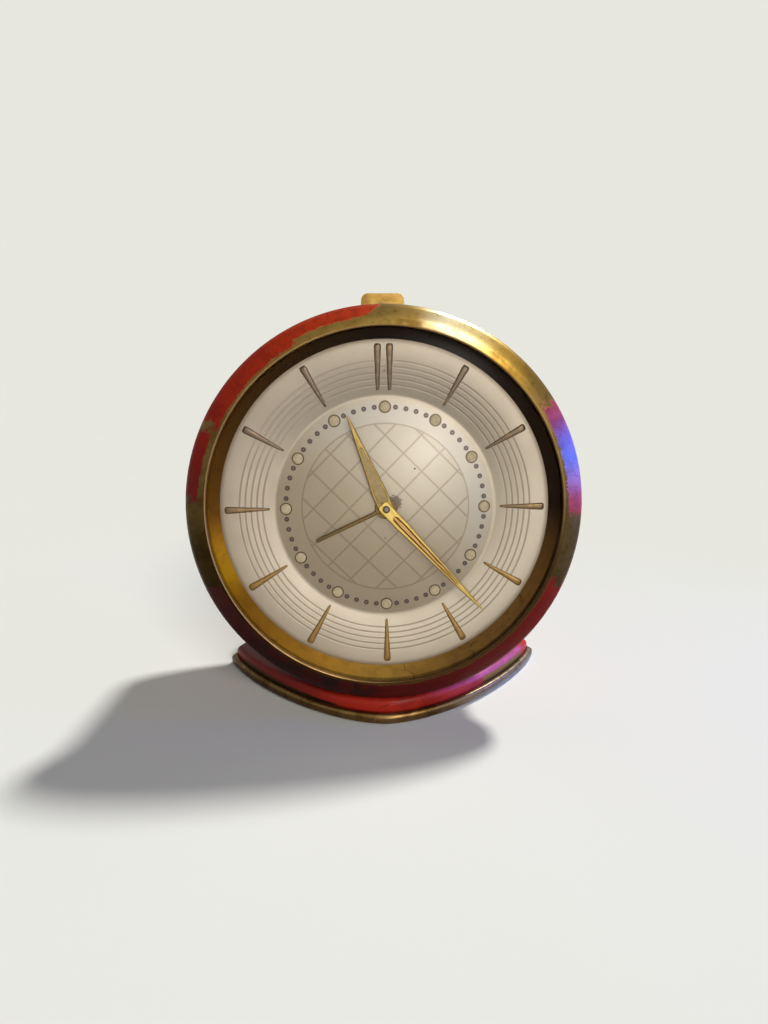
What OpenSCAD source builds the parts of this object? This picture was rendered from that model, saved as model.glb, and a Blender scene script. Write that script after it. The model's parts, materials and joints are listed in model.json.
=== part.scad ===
// Mechanical alarm clock: round leaning case on a lens-shaped foot,
// with a going train, an alarm train and a stop button on top.

/* [Case] */
// Outside diameter of the bezel: the case and the movement grow with it
bezel_d = 86; // [76:0.5:96]
// Angle that the case leans back from upright
lean = 8; // [5:0.5:9]
// Gap between the drum and the top of the foot
stand_gap = 0.1; // [0:0.1:3]
// Distance from the bezel's edge in to the side of the drum
drum_inset = 4; // [3.8:0.1:4.2]
// Thickness of the drum wall
drum_wall = 0.8; // [0.6:0.1:1]
// Width of the bezel's front, from its edge in to the lip
face_w = 4.8; // [4.2:0.1:5.4]
// Height of the bezel lip in front of the dial centre
lip_z = 5.8; // [5.6:0.1:7]
// Height of the bezel's outer edge in front of the dial centre
edge_z = 4; // [3.4:0.1:4.4]
// Thickness of the crystal
crystal_t = 1.3; // [1:0.1:1.6]
// How far the crystal's middle bulges forward
crystal_dome = 2.2; // [1:0.1:4]

/* [Foot] */
// Width of the foot
foot_w = 83.2; // [76:0.1:86]
// Depth of the foot from front to back
foot_depth = 56.8; // [54:0.1:62]
// Distance from the middle of the foot forward to the dial centre
dial_ahead = 17; // [16:0.5:18]
// Roundness of the foot's front and back: 2 is an ellipse, less is more pointed
front_power = 1.65; // [1.4:0.05:2]
// Roundness of the foot's two ends: 2 is an ellipse, less is more pointed
end_power = 1.2; // [1.1:0.05:2]
// Height of the top of the brass rim above the table
rim_top = 2.7; // [2.4:0.1:3]
// Thickness of the brass rim's wall
rim_wall = 1.3; // [1:0.1:1.6]
// Width of the groove between the rim and the painted shell
groove = 0.4; // [0.3:0.1:0.8]
// Height of the top of the painted shell above the table
shell_top = 5.4; // [5:0.1:5.6]
// Thickness of the painted shell
shell_wall = 1; // [0.8:0.1:1.2]
// Thickness of the felt pad
pad_t = 0.8; // [0.6:0.1:1]
// Width of the cradle between the foot and the drum
cradle_w = 26; // [20:1:30]

/* [Dial and hands] */
// Width of the reflector as seen from the front
reflector_w = 1.7; // [1.4:0.1:2.2]
// Thickness of the dial sheet
dial_t = 0.45; // [0.3:0.05:0.6]
// Depth of the valley between the domed centre and the raised ring
dial_dip = 1; // [0.5:0.1:1.2]
// Radius of the valley
valley_r = 24.7; // [23:0.1:26]
// Distance from the valley in to the ring of luminous spots
plot_inset = 2.4; // [1.8:0.1:4]
// Radius of one luminous spot
plot_r = 1.15; // [0.8:0.05:1.5]
// Distance from the valley out to the hour markers
marker_gap = 1.1; // [0.6:0.1:3]
// Distance from the markers' outer ends to the edge of the dial
marker_edge = 1; // [0.7:0.1:3]
// Width of an hour marker at its outer end
marker_w = 1.8; // [1.2:0.1:2.2]
// Length of the minute hand from the arbor to its tip
minute_len = 31.8; // [26:0.1:34]
// Length of the hour hand from the arbor to its tip
hour_len = 22; // [18:0.5:25]
// Length of the alarm hand from the arbor to its tip
alarm_len = 17.2; // [12:0.1:20]
// Angle of the minute hand, clockwise from twelve
minute_turn = 136.9; // [0:0.1:360]
// Angle of the hour hand, clockwise from twelve
hour_turn = 338; // [0:0.1:360]
// Angle of the alarm hand, clockwise from twelve
alarm_turn = 245.1; // [0:0.1:360]

/* [Movement] */
// Distance from the drum in to the edge of the movement plates
mount_w = 4.2; // [3.9:0.1:4.2]
// Thickness of the movement plates
plate_t = 1; // [0.8:0.1:1.2]
// Distance between the movement plates
plate_gap = 14; // [14:0.5:16]
// Depth of the front plate's front face behind the dial centre
motion_gap = 8; // [8:0.1:9]
// Space between the rear plate and the rear cover
cover_gap = 2.7; // [2.5:0.1:4]
// Radius of the pillars between the plates
pillar_r = 1.8; // [1.4:0.1:2]
// Running clearance of pivots and bores, on the radius
run = 0.05; // [0.03:0.01:0.08]
// Radius of the train's pivots
pivot_r = 0.4; // [0.3:0.05:0.5]
// Radius of the train's arbors
arbor_r = 0.7; // [0.6:0.05:0.75]
// Radius of the centre arbor
centre_r = 0.9; // [0.8:0.05:1]
// Radius of the two winding arbors
wind_r = 1.6; // [1.4:0.1:1.8]
// Height of the time mainspring
time_spring_h = 8; // [6:0.5:8]
// Height of the alarm mainspring
alarm_spring_h = 6; // [5:0.5:6]
// Thickness of the mainspring strip
strip_t = 0.35; // [0.25:0.05:0.45]
// Outside radius of the balance wheel
balance_r = 7.1; // [6.5:0.1:7.2]
// Thickness of the hairspring strip
hair_t = 0.12; // [0.1:0.01:0.14]

/* [Keys, knobs and button] */
// Width of the winding keys across both wings
key_w = 19; // [15:0.5:20]
// Length of the winding keys behind the rear cover
key_len = 13; // [10:0.5:14]
// Radius of the two setting knobs
knob_r = 5; // [4:0.1:5.4]
// Length of the setting knobs
knob_len = 4.5; // [3:0.1:6]
// Height of the stop button's block
button_h = 6.7; // [5:0.1:8]
// Width of the stop button at its top
button_w = 9.2; // [8:0.2:11]
// Depth of the stop button from front to back
button_depth = 8; // [7.6:0.1:9]
// Travel of the stop button
button_travel = 1.2; // [1:0.1:1.4]

/* [Hidden] */
$fn = 72;

// Small amount that a cut runs past a face
eps = 0.05;
// Gap between faces of different moving bodies
gap = 0.3;

// Bezel that the other sizes of the case and the movement are stated for
base_d = 86;
case_k = bezel_d / base_d;

// Case levels, counted forward from the dial centre
bezel_r = base_d / 2;
drum_r = bezel_r - drum_inset;
drum_in_r = drum_r - drum_wall;
bead = 0.3;
lip_r = bezel_r - face_w;
lip_t = 0.8;
lip_under = lip_z - lip_t;
cavity_r = bezel_r - 3;
crystal_r = cavity_r - 0.25;
drum_front = -0.6;
skirt_z = -5;
skirt_t = 0.8;
sheet_t = 0.3;

// Dial
dial_r = lip_r - reflector_w;
plot_ring_r = valley_r - plot_inset;
marker_in = valley_r + marker_gap;
marker_out = dial_r - marker_edge;
ring_steps = 8;
marker_h = 0.35;
seat = 0.01;
dial_rim = 0.5;
dial_edge_r = min(dial_r + 1.1, drum_in_r - 0.4);
dial_hole_r = 2;

// Movement levels
plate_r = drum_in_r - mount_w;
front_z = -motion_gap;
inner_front = front_z - plate_t;
inner_rear = inner_front - plate_gap;
rear_z = inner_rear - plate_t;
cover_in = rear_z - cover_gap;
cover_t = 0.8;
cover_out = cover_in - cover_t;
drum_back = cover_out - 0.6;
dial_height = shell_top + stand_gap
    + case_k * ((drum_r + bead) * cos(lean) - (drum_back + bead) * sin(lean));

// Teeth and modules of the wheels
hand_mod = 0.5;
cannon_n = 12;
minute_n = 36;
hour_n = 40;
minute_pinion_n = 10;
hour_mod = hand_mod * (cannon_n + minute_n) / (hour_n + minute_pinion_n);
alarm_n = 48;
set_n = 16;
great_mod = 0.55;
great_n = 60;
centre_pinion_n = 10;
centre_mod = 0.42;
centre_n = 60;
third_pinion_n = 8;
third_mod = 0.36;
third_n = 56;
fourth_pinion_n = 7;
fourth_mod = 0.32;
fourth_n = 56;
escape_pinion_n = 7;
escape_n = 15;
escape_r = 4.6;
ring_mod = 0.48;
ring_n = 48;
star_pinion_n = 8;
star_n = 12;
star_r = 5;
ratchet_n = 24;
ratchet_r = 5;
ratchet_root = 4.3;

// Directions from one arbor to the next, in degrees from the dial's right
minute_dir = -60;
set_dir = 150;
time_dir = -38;
third_dir = 75;
fourth_dir = 110;
escape_dir = 0;
lever_dir = -25;
balance_dir = -35.3;
star_dir = 120;

function polar(r, a) = [r * cos(a), r * sin(a)];
function pitch(mod, a, b) = mod * (a + b) / 2;
// Turn of a wheel that meshes with one that has a tooth at angle turn
function mesh_turn(turn, teeth, dir, next) =
    dir + 180 + (dir - turn) * teeth / next + 180 / next;

// Arbor positions in the plane of the dial
minute_at = polar(pitch(hand_mod, cannon_n, minute_n), minute_dir);
set_at = polar(pitch(hand_mod, alarm_n, set_n), set_dir);
time_at = polar(pitch(great_mod, great_n, centre_pinion_n), time_dir);
third_at = polar(pitch(centre_mod, centre_n, third_pinion_n), third_dir);
fourth_at = third_at + polar(pitch(third_mod, third_n, fourth_pinion_n), fourth_dir);
escape_at = fourth_at + polar(pitch(fourth_mod, fourth_n, escape_pinion_n), escape_dir);
lever_at = escape_at + polar(5.5, lever_dir);
balance_at = lever_at + polar(8, balance_dir);
alarm_at = [-15.5, -13.5];
star_at = alarm_at + polar(pitch(ring_mod, ring_n, star_pinion_n), star_dir);
hammer_at = star_at + [-0.3, 6.8];
pillar_at = [polar(plate_r - 3.05, 15), polar(plate_r - 3.5, -90),
    polar(plate_r - 5.8, 115.2), polar(plate_r - 2.25, 198)];
lug_dirs = [100, 210, 330];
lug_r = plate_r + 2;

// Levels of the motion work in front of the front plate
cannon_z = front_z + 0.6;
cannon_h = 1;
minute_z = front_z + 0.8;
minute_h = 1;
leaf_z = front_z + 2.15;
leaf_t = 0.3;
hour_z = front_z + 2.7;
wheel_t = 0.8;
alarm_z = hour_z + 1.5;
alarm_t = 0.7;
cannon_out = 0.8;
cannon_in = 0.45;
hour_pipe_r = 1.15;
alarm_pipe_r = 1.6;
alarm_hand_z = 0.55;
hour_hand_z = 1.35;
minute_hand_z = 2.2;
hand_t = 0.3;
minute_hand_t = 0.4;
cannon_end = 3.1;
arbor_end = 3.3;

// Levels of the wheels between the plates
centre_z = inner_front - 1.2;
great_z = inner_front - 3.7;
great_t = 1;
ratchet_z = great_z + great_t + gap;
ratchet_t = 0.8;
spring_front = great_z - 0.7;
third_z = inner_front - 6.6;
fourth_z = inner_front - 10;
thin_t = 0.6;
escape_z = inner_front - 4.2;
lever_z = escape_z - 1.4;
roller_z = lever_z - 1.6;
rim_z = inner_rear + 4.4;
hair_z = inner_rear + 2.25;
hair_h = 0.5;
hair_r = 6;
curb_dir = 219;
stud_dir = 269;
reg_z = inner_rear + 0.1;
star_z = inner_rear + 1.5;
star_t = 0.7;
verge_z = star_z + star_t + 0.3;
head_z = inner_rear + 4;
head_h = 3.5;

// Winding arbors
hub_r = wind_r + 0.6;
time_post_at = time_at + polar(14.6, -95);
alarm_post_at = alarm_at + polar(10.9, -100);
post_r = 0.9;
eye_r = post_r + run + strip_t;
key_z = cover_out - 0.6;

// Hammer and gong post
hammer_dir = 80;
hammer_len = 11;
head_r = 2.2;
gong_at = hammer_at + polar(hammer_len, hammer_dir + 30);
gong_r = 1.6;

// Stop button: its block stands clear of the bezel, its stem behind the mount ring
stem_r = 1.6;
stem_z = skirt_z - 3 - button_depth / 2;
bush_t = 0.8;
bush_top = drum_r + bush_t;
button_low = bush_top + gap + button_travel;
button_w_low = button_w + 1.6;
button_top = button_low + button_h;
flange_r = 3.6;
stem_end = plate_r + 0.5;
pocket_r = 2.9;
pocket_top = button_low + 3.4;
stop_pivot = polar(plate_r - 1.3, 69.4);
stop_bend = polar(plate_r - 0.3, 111.8);
stop_reach = polar(plate_r + 0.6, 122.5);

// Foot
tray_t = 0.8;
tray_z = pad_t;
rim_low = 0.3;
shell_inset = rim_wall + groove;
screw_x = 4.5;
screw_r = 1.4;
nut_top = dial_height - case_k * ((plate_r + 1) * cos(lean) + 12 * sin(lean));
nut_w = 16;
nut_depth = 8;
cradle_front = -dial_ahead - case_k * (drum_r * sin(lean) + (skirt_z - 0.4) * cos(lean));
cradle_depth = 20;
cradle_h = 7;
screw_y = cradle_front + 7;

// Places its children in the case: x right, y up the dial, z out of the dial
module in_case() {
    translate([0, -dial_ahead, dial_height]) rotate([90 - lean, 0, 0]) scale(case_k) children();
}

// Puts its children at a point of the dial plane and a depth
module at(p, z = 0) {
    translate([p[0], p[1], z]) children();
}

// Flat bar between two points, w wide and h high
module bar(p, q, w, h) {
    d = q - p;
    at(p) rotate([0, 0, atan2(d[1], d[0])]) translate([0, -w / 2, 0]) cube([norm(d), w, h]);
}

// Outline of a gear with straight flanks and a tooth on the x axis
module gear_2d(teeth, mod, tip, root) {
    rp = mod * teeth / 2;
    rt = rp + 0.75 * mod;
    rr = rp - 1.15 * mod;
    ta = tip * mod / rt * 90 / PI;
    ra = root * mod / rr * 90 / PI;
    polygon([for (i = [0 : teeth - 1], s = [[rr, -ra], [rt, -ta], [rt, ta], [rr, ra]])
        polar(s[0], i * 360 / teeth + s[1])]);
}

// Wheel with straight-sided teeth and round windows between its spokes
module wheel(teeth, mod, h, bore, windows = 0) {
    rp = mod * teeth / 2;
    ring = (rp * 0.82 + 2.4) / 2;
    hole = min((rp * 0.82 - 2.4) / 2 - 0.3, ring * sin(180 / max(windows, 3)) - 0.5);
    linear_extrude(h) difference() {
        gear_2d(teeth, mod, 0.55, 1.75);
        circle(bore);
        if (windows > 0) for (i = [0 : windows - 1])
            rotate([0, 0, (i + 0.5) * 360 / windows]) translate([ring, 0]) circle(hole, $fn = 32);
    }
}

// Pinion with a bore
module pinion(teeth, mod, h, bore) {
    linear_extrude(h) difference() {
        gear_2d(teeth, mod, 0.5, 1.5);
        circle(bore);
    }
}

// Plain arbor between the plates with a pivot at each end
module arbor(r = arbor_r) {
    translate([0, 0, inner_rear + 0.15]) cylinder(h = plate_gap - gap, r = r);
    translate([0, 0, rear_z + 0.1])
        cylinder(h = plate_gap + 2 * plate_t - 0.2, r = pivot_r);
}

// Case

module case_drum() {
    color("firebrick") in_case() difference() {
        rotate_extrude() polygon([
            [drum_in_r, drum_back], [drum_r + bead / 2, drum_back],
            [drum_r + bead, drum_back + bead], [drum_r + bead / 2, drum_back + 3 * bead],
            [drum_r, drum_back + 4 * bead], [drum_r, drum_front],
            [drum_in_r, drum_front]]);
        translate([0, 0, stem_z]) rotate([-90, 0, 0]) cylinder(h = drum_r + 5, r = stem_r + 0.6);
        drum_screw_holes();
    }
}

// Vertical holes of the two foot screws, drawn in case coordinates
module drum_screw_holes() {
    scale(1 / case_k) rotate([lean - 90, 0, 0]) translate([0, dial_ahead, -dial_height])
        foot_screw_holes(screw_r, 0, nut_top);
}

module bezel() {
    slope = [for (i = [0 : 6]) let (t = i / 6)
        [lip_r + 0.3 + (bezel_r - 1 - lip_r) * t,
         lip_z - (lip_z - edge_z - 0.4) * t + 0.22 * sin(180 * t)]];
    nose = [for (a = [60 : -30 : 0]) [bezel_r - 1 + cos(a), edge_z - 0.85 + sin(a)]];
    flank = [for (i = [0 : 6]) let (a = 15 * i)
        [bezel_r - (bezel_r - drum_r - 1.6) * (1 - cos(a)), edge_z - 1.4 + (1.4 - edge_z - 1.8) * sin(a)]];
    color("darkgoldenrod") in_case() rotate_extrude() polygon(concat(
        [[lip_r, lip_under], [lip_r, lip_z - 0.2]], slope, nose, flank,
        [[drum_r + skirt_t, -2.4], [drum_r + skirt_t, skirt_z], [drum_r, skirt_z],
         [drum_r, drum_front], [cavity_r, drum_front], [cavity_r, lip_under]]));
}

module crystal() {
    steps = 12;
    low = lip_under - crystal_t;
    dome_r = lip_r - 0.1;
    dome = [for (i = [0 : steps]) [dome_r * i / steps, crystal_dome * (1 - pow(i / steps, 2))]];
    color([0.85, 0.9, 0.92, 0.3]) in_case() rotate_extrude() polygon(concat(
        [[crystal_r, low], [crystal_r, lip_under]],
        [for (i = [steps : -1 : 0]) [dome[i][0], lip_under + dome[i][1]]],
        [for (p = dome) [p[0], low + p[1]]]));
}

// Polished cone between the dial and the crystal
module reflector_ring() {
    top = lip_under - crystal_t;
    low = dial_rim;
    color("goldenrod") in_case() rotate_extrude() polygon([
        [dial_r, low], [dial_edge_r, low], [dial_edge_r, low + sheet_t],
        [dial_r + sheet_t, low + sheet_t], [lip_r - 0.1 + sheet_t, top - sheet_t],
        [crystal_r, top - sheet_t], [crystal_r, top], [lip_r - 0.1, top]]);
}

// Height of the dial's face at a radius
function dial_face(r) = r <= valley_r
    ? -dial_dip * pow(r / valley_r, 2)
    : r >= dial_r ? dial_rim
    : dial_rim - (dial_dip + dial_rim) * pow((dial_r - r) / (dial_r - valley_r), 1.6);

module dial() {
    dome = [for (i = [0 : 8]) dial_hole_r + (valley_r - dial_hole_r) * i / 8];
    ring = [for (i = [1 : ring_steps]) valley_r + (dial_r - valley_r) * i / ring_steps];
    radii = concat(dome, ring, [dial_edge_r]);
    top = [for (r = radii) [r, dial_face(r)]];
    low = [for (i = [len(radii) - 1 : -1 : 0]) [radii[i], dial_face(radii[i]) - dial_t]];
    color("antiquewhite") in_case() rotate_extrude() polygon(concat(top, low));
}

// Height of the dial's ring between the radii that its surface bends at
function ring_chord(r) =
    let (w = (dial_r - valley_r) / ring_steps, i = floor((r - valley_r) / w), a = valley_r + i * w)
    dial_face(a) + (dial_face(a + w) - dial_face(a)) * (r - a) / w;

// One raised wedge that points up, from the inner to the outer radius
module marker(w_out, w_in) {
    knots = [for (i = [1 : ring_steps - 1]) valley_r + (dial_r - valley_r) * i / ring_steps];
    radii = concat([marker_in], [for (r = knots) if (r > marker_in && r < marker_out) r],
        [marker_out]);
    low = [for (r = radii) [r, ring_chord(r) + seat]];
    high = [for (i = [len(low) - 1 : -1 : 0]) low[i] + [0, marker_h]];
    intersection() {
        rotate([90, 0, 90]) translate([0, 0, -w_out]) linear_extrude(2 * w_out)
            polygon(concat(low, high));
        translate([0, 0, -dial_dip - 1]) linear_extrude(5) polygon([
            [-w_in / 2, marker_in], [w_in / 2, marker_in],
            [w_out / 2, marker_out - 0.4], [w_out / 2 - 0.3, marker_out],
            [0.3 - w_out / 2, marker_out], [-w_out / 2, marker_out - 0.4]]);
    }
}

module hour_markers() {
    twin_x = 1.3;
    color("peru") in_case() {
        for (h = [1 : 11]) rotate([0, 0, -30 * h]) marker(marker_w, marker_w * 0.3);
        for (x = [-twin_x, twin_x]) translate([x, 0, 0]) marker(marker_w * 0.75, marker_w * 0.6);
    }
}

module hour_plots() {
    color("khaki") in_case() for (h = [0 : 11])
        at(polar(plot_ring_r, 30 * h)) difference() {
            translate([0, 0, dial_face(plot_ring_r) - 0.3]) cylinder(h = 0.5, r = plot_r);
            rotate([0, 0, 30 * h]) translate([-plot_ring_r, 0, 0]) under_dial();
        }
}

// Solid that fills the space behind the dial's face near the ring of spots
module under_dial() {
    r0 = plot_ring_r - 2;
    r1 = plot_ring_r + 2;
    radii = [for (i = [0 : 8]) r0 + (r1 - r0) * i / 8];
    rotate_extrude() polygon(concat(
        [for (r = radii) [r, dial_face(r)]], [[r1, -3], [r0, -3]]));
}

// Ring inside the drum that carries the dial and the movement
module mount_ring() {
    front = dial_rim - dial_t;
    t = 0.8;
    in_r = plate_r + 0.7;
    color("dimgray") in_case() difference() {
        rotate_extrude() polygon([
            [dial_r, front], [drum_in_r, front], [drum_in_r, front_z], [in_r, front_z],
            [in_r, front_z + t], [drum_in_r - t, front_z + t], [drum_in_r - t, front - t],
            [dial_r, front - t]]);
        for (a = lug_dirs) at(polar(lug_r, a), front_z - eps) cylinder(h = t + 2 * eps, r = 1);
    }
}

module rear_cover() {
    flange = 2;
    color("darkgoldenrod") in_case() difference() {
        union() {
            translate([0, 0, cover_out]) cylinder(h = cover_t, r = drum_in_r);
            translate([0, 0, cover_in - eps]) difference() {
                cylinder(h = flange, r = drum_in_r);
                translate([0, 0, -1]) cylinder(h = flange + 2, r = drum_in_r - cover_t);
            }
        }
        translate([0, 0, cover_out - eps]) {
            cylinder(h = cover_t + 2 * eps, r = centre_r + 0.6);
            at(set_at) cylinder(h = cover_t + 2 * eps, r = centre_r + 0.6);
            for (p = [time_at, alarm_at]) at(p) cylinder(h = cover_t + 2 * eps, r = wind_r + 0.6);
            for (i = [0, 1, 3]) at(pillar_at[i]) cylinder(h = cover_t + 2 * eps, r = 1.1);
            regulator_slot(cover_t + 2 * eps);
        }
    }
}

// Curved slot that the regulator's tail comes through
module regulator_slot(h) {
    tail_r = 8.6;
    tail_dir = atan2(balance_at[1], balance_at[0]);
    at(balance_at) for (a = [-16 : 8 : 16])
        bar(polar(tail_r, tail_dir + a - 4.5), polar(tail_r, tail_dir + a + 4.5), 1.7, h);
}

// Screw with a slotted round head; the shank points forward
module screw(shank_r, shank, head_r, head_h) {
    difference() {
        union() {
            cylinder(h = shank, r = shank_r);
            translate([0, 0, -head_h]) cylinder(h = head_h, r = head_r);
        }
        translate([-head_r, -0.25, -head_h - eps]) cube([2 * head_r, 0.5, head_h / 2 + eps]);
    }
}

// Three screws of the rear cover and three that hold the movement to the mount ring
module case_screws() {
    color("silver") in_case() {
        for (i = [0, 1, 3]) at(pillar_at[i], cover_out) screw(1, 2.2, 2, 0.8);
        for (a = lug_dirs) at(polar(lug_r, a), inner_front) screw(1, plate_t + 1, 1.8, 0.8);
    }
}

module button_bush() {
    sleeve_r = stem_r + 0.6;
    color("goldenrod") in_case() difference() {
        union() {
            difference() {
                translate([0, 0, stem_z]) rotate([-90, 0, 0]) cylinder(h = bush_top, r = flange_r);
                translate([0, 0, stem_z - flange_r - 1])
                    cylinder(h = 2 * flange_r + 2, r = drum_r, $fn = 360);
            }
            translate([0, drum_in_r - 1, stem_z]) rotate([-90, 0, 0])
                cylinder(h = bush_top - drum_in_r + 1, r = sleeve_r);
        }
        translate([0, 0, stem_z]) rotate([-90, 0, 0]) cylinder(h = bush_top + 1, r = stem_r + run);
    }
}

// Foot

// Outline of the foot, drawn in by a distance
foot_sides = 72;
function foot_points(inset) = let (a = foot_w / 2 - inset, b = foot_depth / 2 - inset)
    [for (i = [0 : foot_sides - 1]) let (c = cos(i * 360 / foot_sides), s = sin(i * 360 / foot_sides))
        [a * sign(c) * pow(abs(c), 2 / front_power), b * sign(s) * pow(abs(s), 2 / end_power)]];

// Solid whose outline follows the foot at each inset and height of a profile; its
// first and last entries close it with flat faces
module foot_loft(profile) {
    n = foot_sides;
    m = len(profile);
    points = [for (q = profile, p = foot_points(q[0])) [p[0], p[1], q[1]]];
    walls = [for (j = [0 : m - 2], i = [0 : n - 1])
        let (k = (i + 1) % n, u = j * n, v = (j + 1) * n)
        each [[u + i, v + k, u + k], [u + i, v + i, v + k]]];
    first = [for (i = [0 : n - 1]) i];
    last = [for (i = [n - 1 : -1 : 0]) (m - 1) * n + i];
    polyhedron(points, concat([first], walls, [last]));
}

// The two vertical foot screws, as holes of a given radius
module foot_screw_holes(r, z0, h) {
    for (x = [-screw_x, screw_x]) translate([x, screw_y, z0]) cylinder(h = h, r = r);
}

module foot_pad() {
    color("darkslategray") difference() {
        linear_extrude(pad_t) polygon(foot_points(rim_wall + 0.2));
        foot_screw_holes(3, -eps, pad_t + 2 * eps);
    }
}

module foot_rim() {
    low_round = 0.8;
    top_round = 0.4;
    low = [for (a = [0 : 22.5 : 90])
        [low_round * (1 - sin(a)), rim_low + low_round * (1 - cos(a))]];
    top = [for (a = [0 : 45 : 90])
        [top_round * (1 - cos(a)), rim_top - top_round * (1 - sin(a))]];
    color("darkgoldenrod") difference() {
        foot_loft(concat([[rim_wall + 0.1, tray_z], [rim_wall + 0.1, rim_low]], low, top,
            [[rim_wall, rim_top], [rim_wall, tray_z + tray_t]]));
        foot_screw_holes(screw_r + 0.1, -1, 5);
    }
}

module foot_shell() {
    shoulder = 1.4;
    low = tray_z + tray_t;
    top = [for (a = [0 : 22.5 : 90])
        [shell_inset + shoulder * (1 - cos(a)), shell_top - shoulder * (1 - sin(a))]];
    inner = shell_inset + shell_wall;
    color("firebrick") difference() {
        foot_loft(concat([[inner + 0.6, shell_top - shell_wall],
            [inner, shell_top - shoulder - 0.2], [inner, low], [shell_inset, low]], top));
        foot_screw_holes(screw_r + 0.1, 0, 10);
    }
}

// Cradle with a hollow top that carries the drum on the foot
module cradle() {
    color("firebrick") difference() {
        translate([-cradle_w / 2, cradle_front, shell_top])
            cube([cradle_w, cradle_depth, cradle_h]);
        in_case() translate([0, 0, drum_back]) cylinder(h = lip_z - drum_back, r = drum_r);
        foot_screw_holes(screw_r + 0.1, 0, nut_top);
    }
}

module foot_screws() {
    length = nut_top - tray_z;
    color("silver") for (x = [-screw_x, screw_x])
        translate([x, screw_y, tray_z]) screw(screw_r, length, 2.6, 0.6);
}

// Block inside the drum that the foot screws hold in
module nut_plate() {
    color("dimgray") difference() {
        intersection() {
            translate([-nut_w / 2, screw_y - nut_depth / 2, shell_top])
                cube([nut_w, nut_depth, nut_top - shell_top]);
            in_case() translate([0, 0, drum_back])
                cylinder(h = front_z - gap - drum_back, r = drum_in_r);
        }
        foot_screw_holes(screw_r, 0, nut_top + 1);
    }
}

// Movement frame

module front_plate() {
    color("goldenrod") in_case() translate([0, 0, inner_front]) difference() {
        union() {
            cylinder(h = plate_t, r = plate_r);
            for (a = lug_dirs) rotate([0, 0, a]) translate([plate_r - 3, -3.5, 0])
                cube([drum_in_r - plate_r + 2.6, 7, plate_t]);
        }
        translate([0, 0, -eps]) {
            plate_holes(plate_t + 2 * eps);
            at(hammer_at) cylinder(h = plate_t + 2 * eps, r = arbor_r + run);
            for (a = lug_dirs) at(polar(lug_r, a)) cylinder(h = plate_t + 2 * eps, r = 1.1);
            for (p = [time_at, alarm_at]) at(p) cylinder(h = plate_t + 2 * eps, r = 1 + run);
        }
    }
}

module rear_plate() {
    color("goldenrod") in_case() translate([0, 0, rear_z]) difference() {
        cylinder(h = plate_t, r = plate_r);
        translate([0, 0, -eps]) {
            plate_holes(plate_t + 2 * eps);
            at(hammer_at) cylinder(h = plate_t + 2 * eps, r = pivot_r + run);
            for (p = [time_at, alarm_at]) at(p)
                cylinder(h = plate_t + 2 * eps, r = wind_r + run);
            for (p = pillar_at) at(p) cylinder(h = plate_t + 2 * eps, r = 1.2);
            at(gong_at) cylinder(h = plate_t + 2 * eps, r = gong_r + 0.5);
        }
    }
}

// Holes that both plates share
module plate_holes(h) {
    cylinder(h = h, r = centre_r + run);
    at(set_at) cylinder(h = h, r = centre_r + run);
    for (p = [third_at, fourth_at, escape_at, lever_at, star_at]) at(p)
        cylinder(h = h, r = pivot_r + run);
    at(balance_at) cylinder(h = h, r = 1.5);
}

module pillars() {
    color("goldenrod") in_case() for (p = pillar_at) at(p, inner_rear) {
        cylinder(h = plate_gap, r = pillar_r);
        translate([0, 0, -plate_t - 0.8]) cylinder(h = plate_t + 1, r = 1.2);
    }
}

module pillar_nuts() {
    color("silver") in_case() for (p = pillar_at) at(p, cover_in) difference() {
        cylinder(h = cover_gap, r = 2.6, $fn = 6);
        translate([0, 0, cover_gap - 0.8]) cylinder(h = 2, r = 1.2);
        translate([0, 0, -eps]) cylinder(h = cover_gap, r = 1);
    }
}

// Studs riveted into the plates: spring anchors, minute wheel stud, hairspring
// stud, stop lever stud and the two ears of the release lever
module plate_posts() {
    color("silver") in_case() {
        at(time_post_at, inner_rear) cylinder(h = spring_front - inner_rear + 0.2, r = post_r);
        at(alarm_post_at, inner_rear) cylinder(h = spring_front - inner_rear + 0.2, r = post_r);
        at(minute_at, front_z) cylinder(h = hour_z + wheel_t + 0.4 - front_z, r = arbor_r);
        at(balance_at + polar(hair_r, stud_dir), inner_rear) rotate([0, 0, stud_dir])
            translate([-0.35, 0, 0]) cube([0.95, 1, hair_z + hair_h + 0.2 - inner_rear]);
        at(stop_pivot, stem_z - 0.6) cylinder(h = inner_front - stem_z + 0.6, r = arbor_r);
        for (s = [-1, 1]) difference() {
            translate([leaf_pivot_x - 1, s * 2.9 - 0.4, front_z]) cube([2, 0.8, 1.9]);
            translate([leaf_pivot_x, s * 2.9 - 1, leaf_pivot_z]) rotate([-90, 0, 0])
                cylinder(h = 2, r = 0.5 + run);
        }
    }
}

leaf_pivot_x = -29;
leaf_pivot_z = front_z + 1;

module gong_post() {
    color("silver") in_case() at(gong_at, cover_in)
        cylinder(h = head_z + head_h - cover_in, r = gong_r);
}

// Two cup screws that hold the balance staff between its pointed ends
module balance_cups() {
    color("silver") in_case() at(balance_at) {
        translate([0, 0, inner_front - 1.2]) cup(1);
        translate([0, 0, inner_rear + 1.2]) mirror([0, 0, 1]) cup(1);
    }
}

module cup(len) {
    difference() {
        cylinder(h = len + 0.2 + plate_t + 0.6, r = 1.5);
        translate([0, 0, -eps]) cylinder(h = 0.8, r1 = 0.8, r2 = 0);
        translate([-2, -0.25, len + 0.2 + plate_t + 0.2]) cube([4, 0.5, 1]);
    }
}

// Hands and motion work

module centre_arbor() {
    color("silver") in_case() {
        translate([0, 0, cover_out - 0.6 - knob_len]) cylinder(
            h = cannon_z - cover_out + 0.6 + knob_len, r = centre_r);
        translate([0, 0, cannon_z]) cylinder(h = arbor_end - cannon_z, r = cannon_in);
        translate([0, 0, inner_front - 0.25]) cylinder(h = 0.2, r = 1.5);
    }
}

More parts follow.
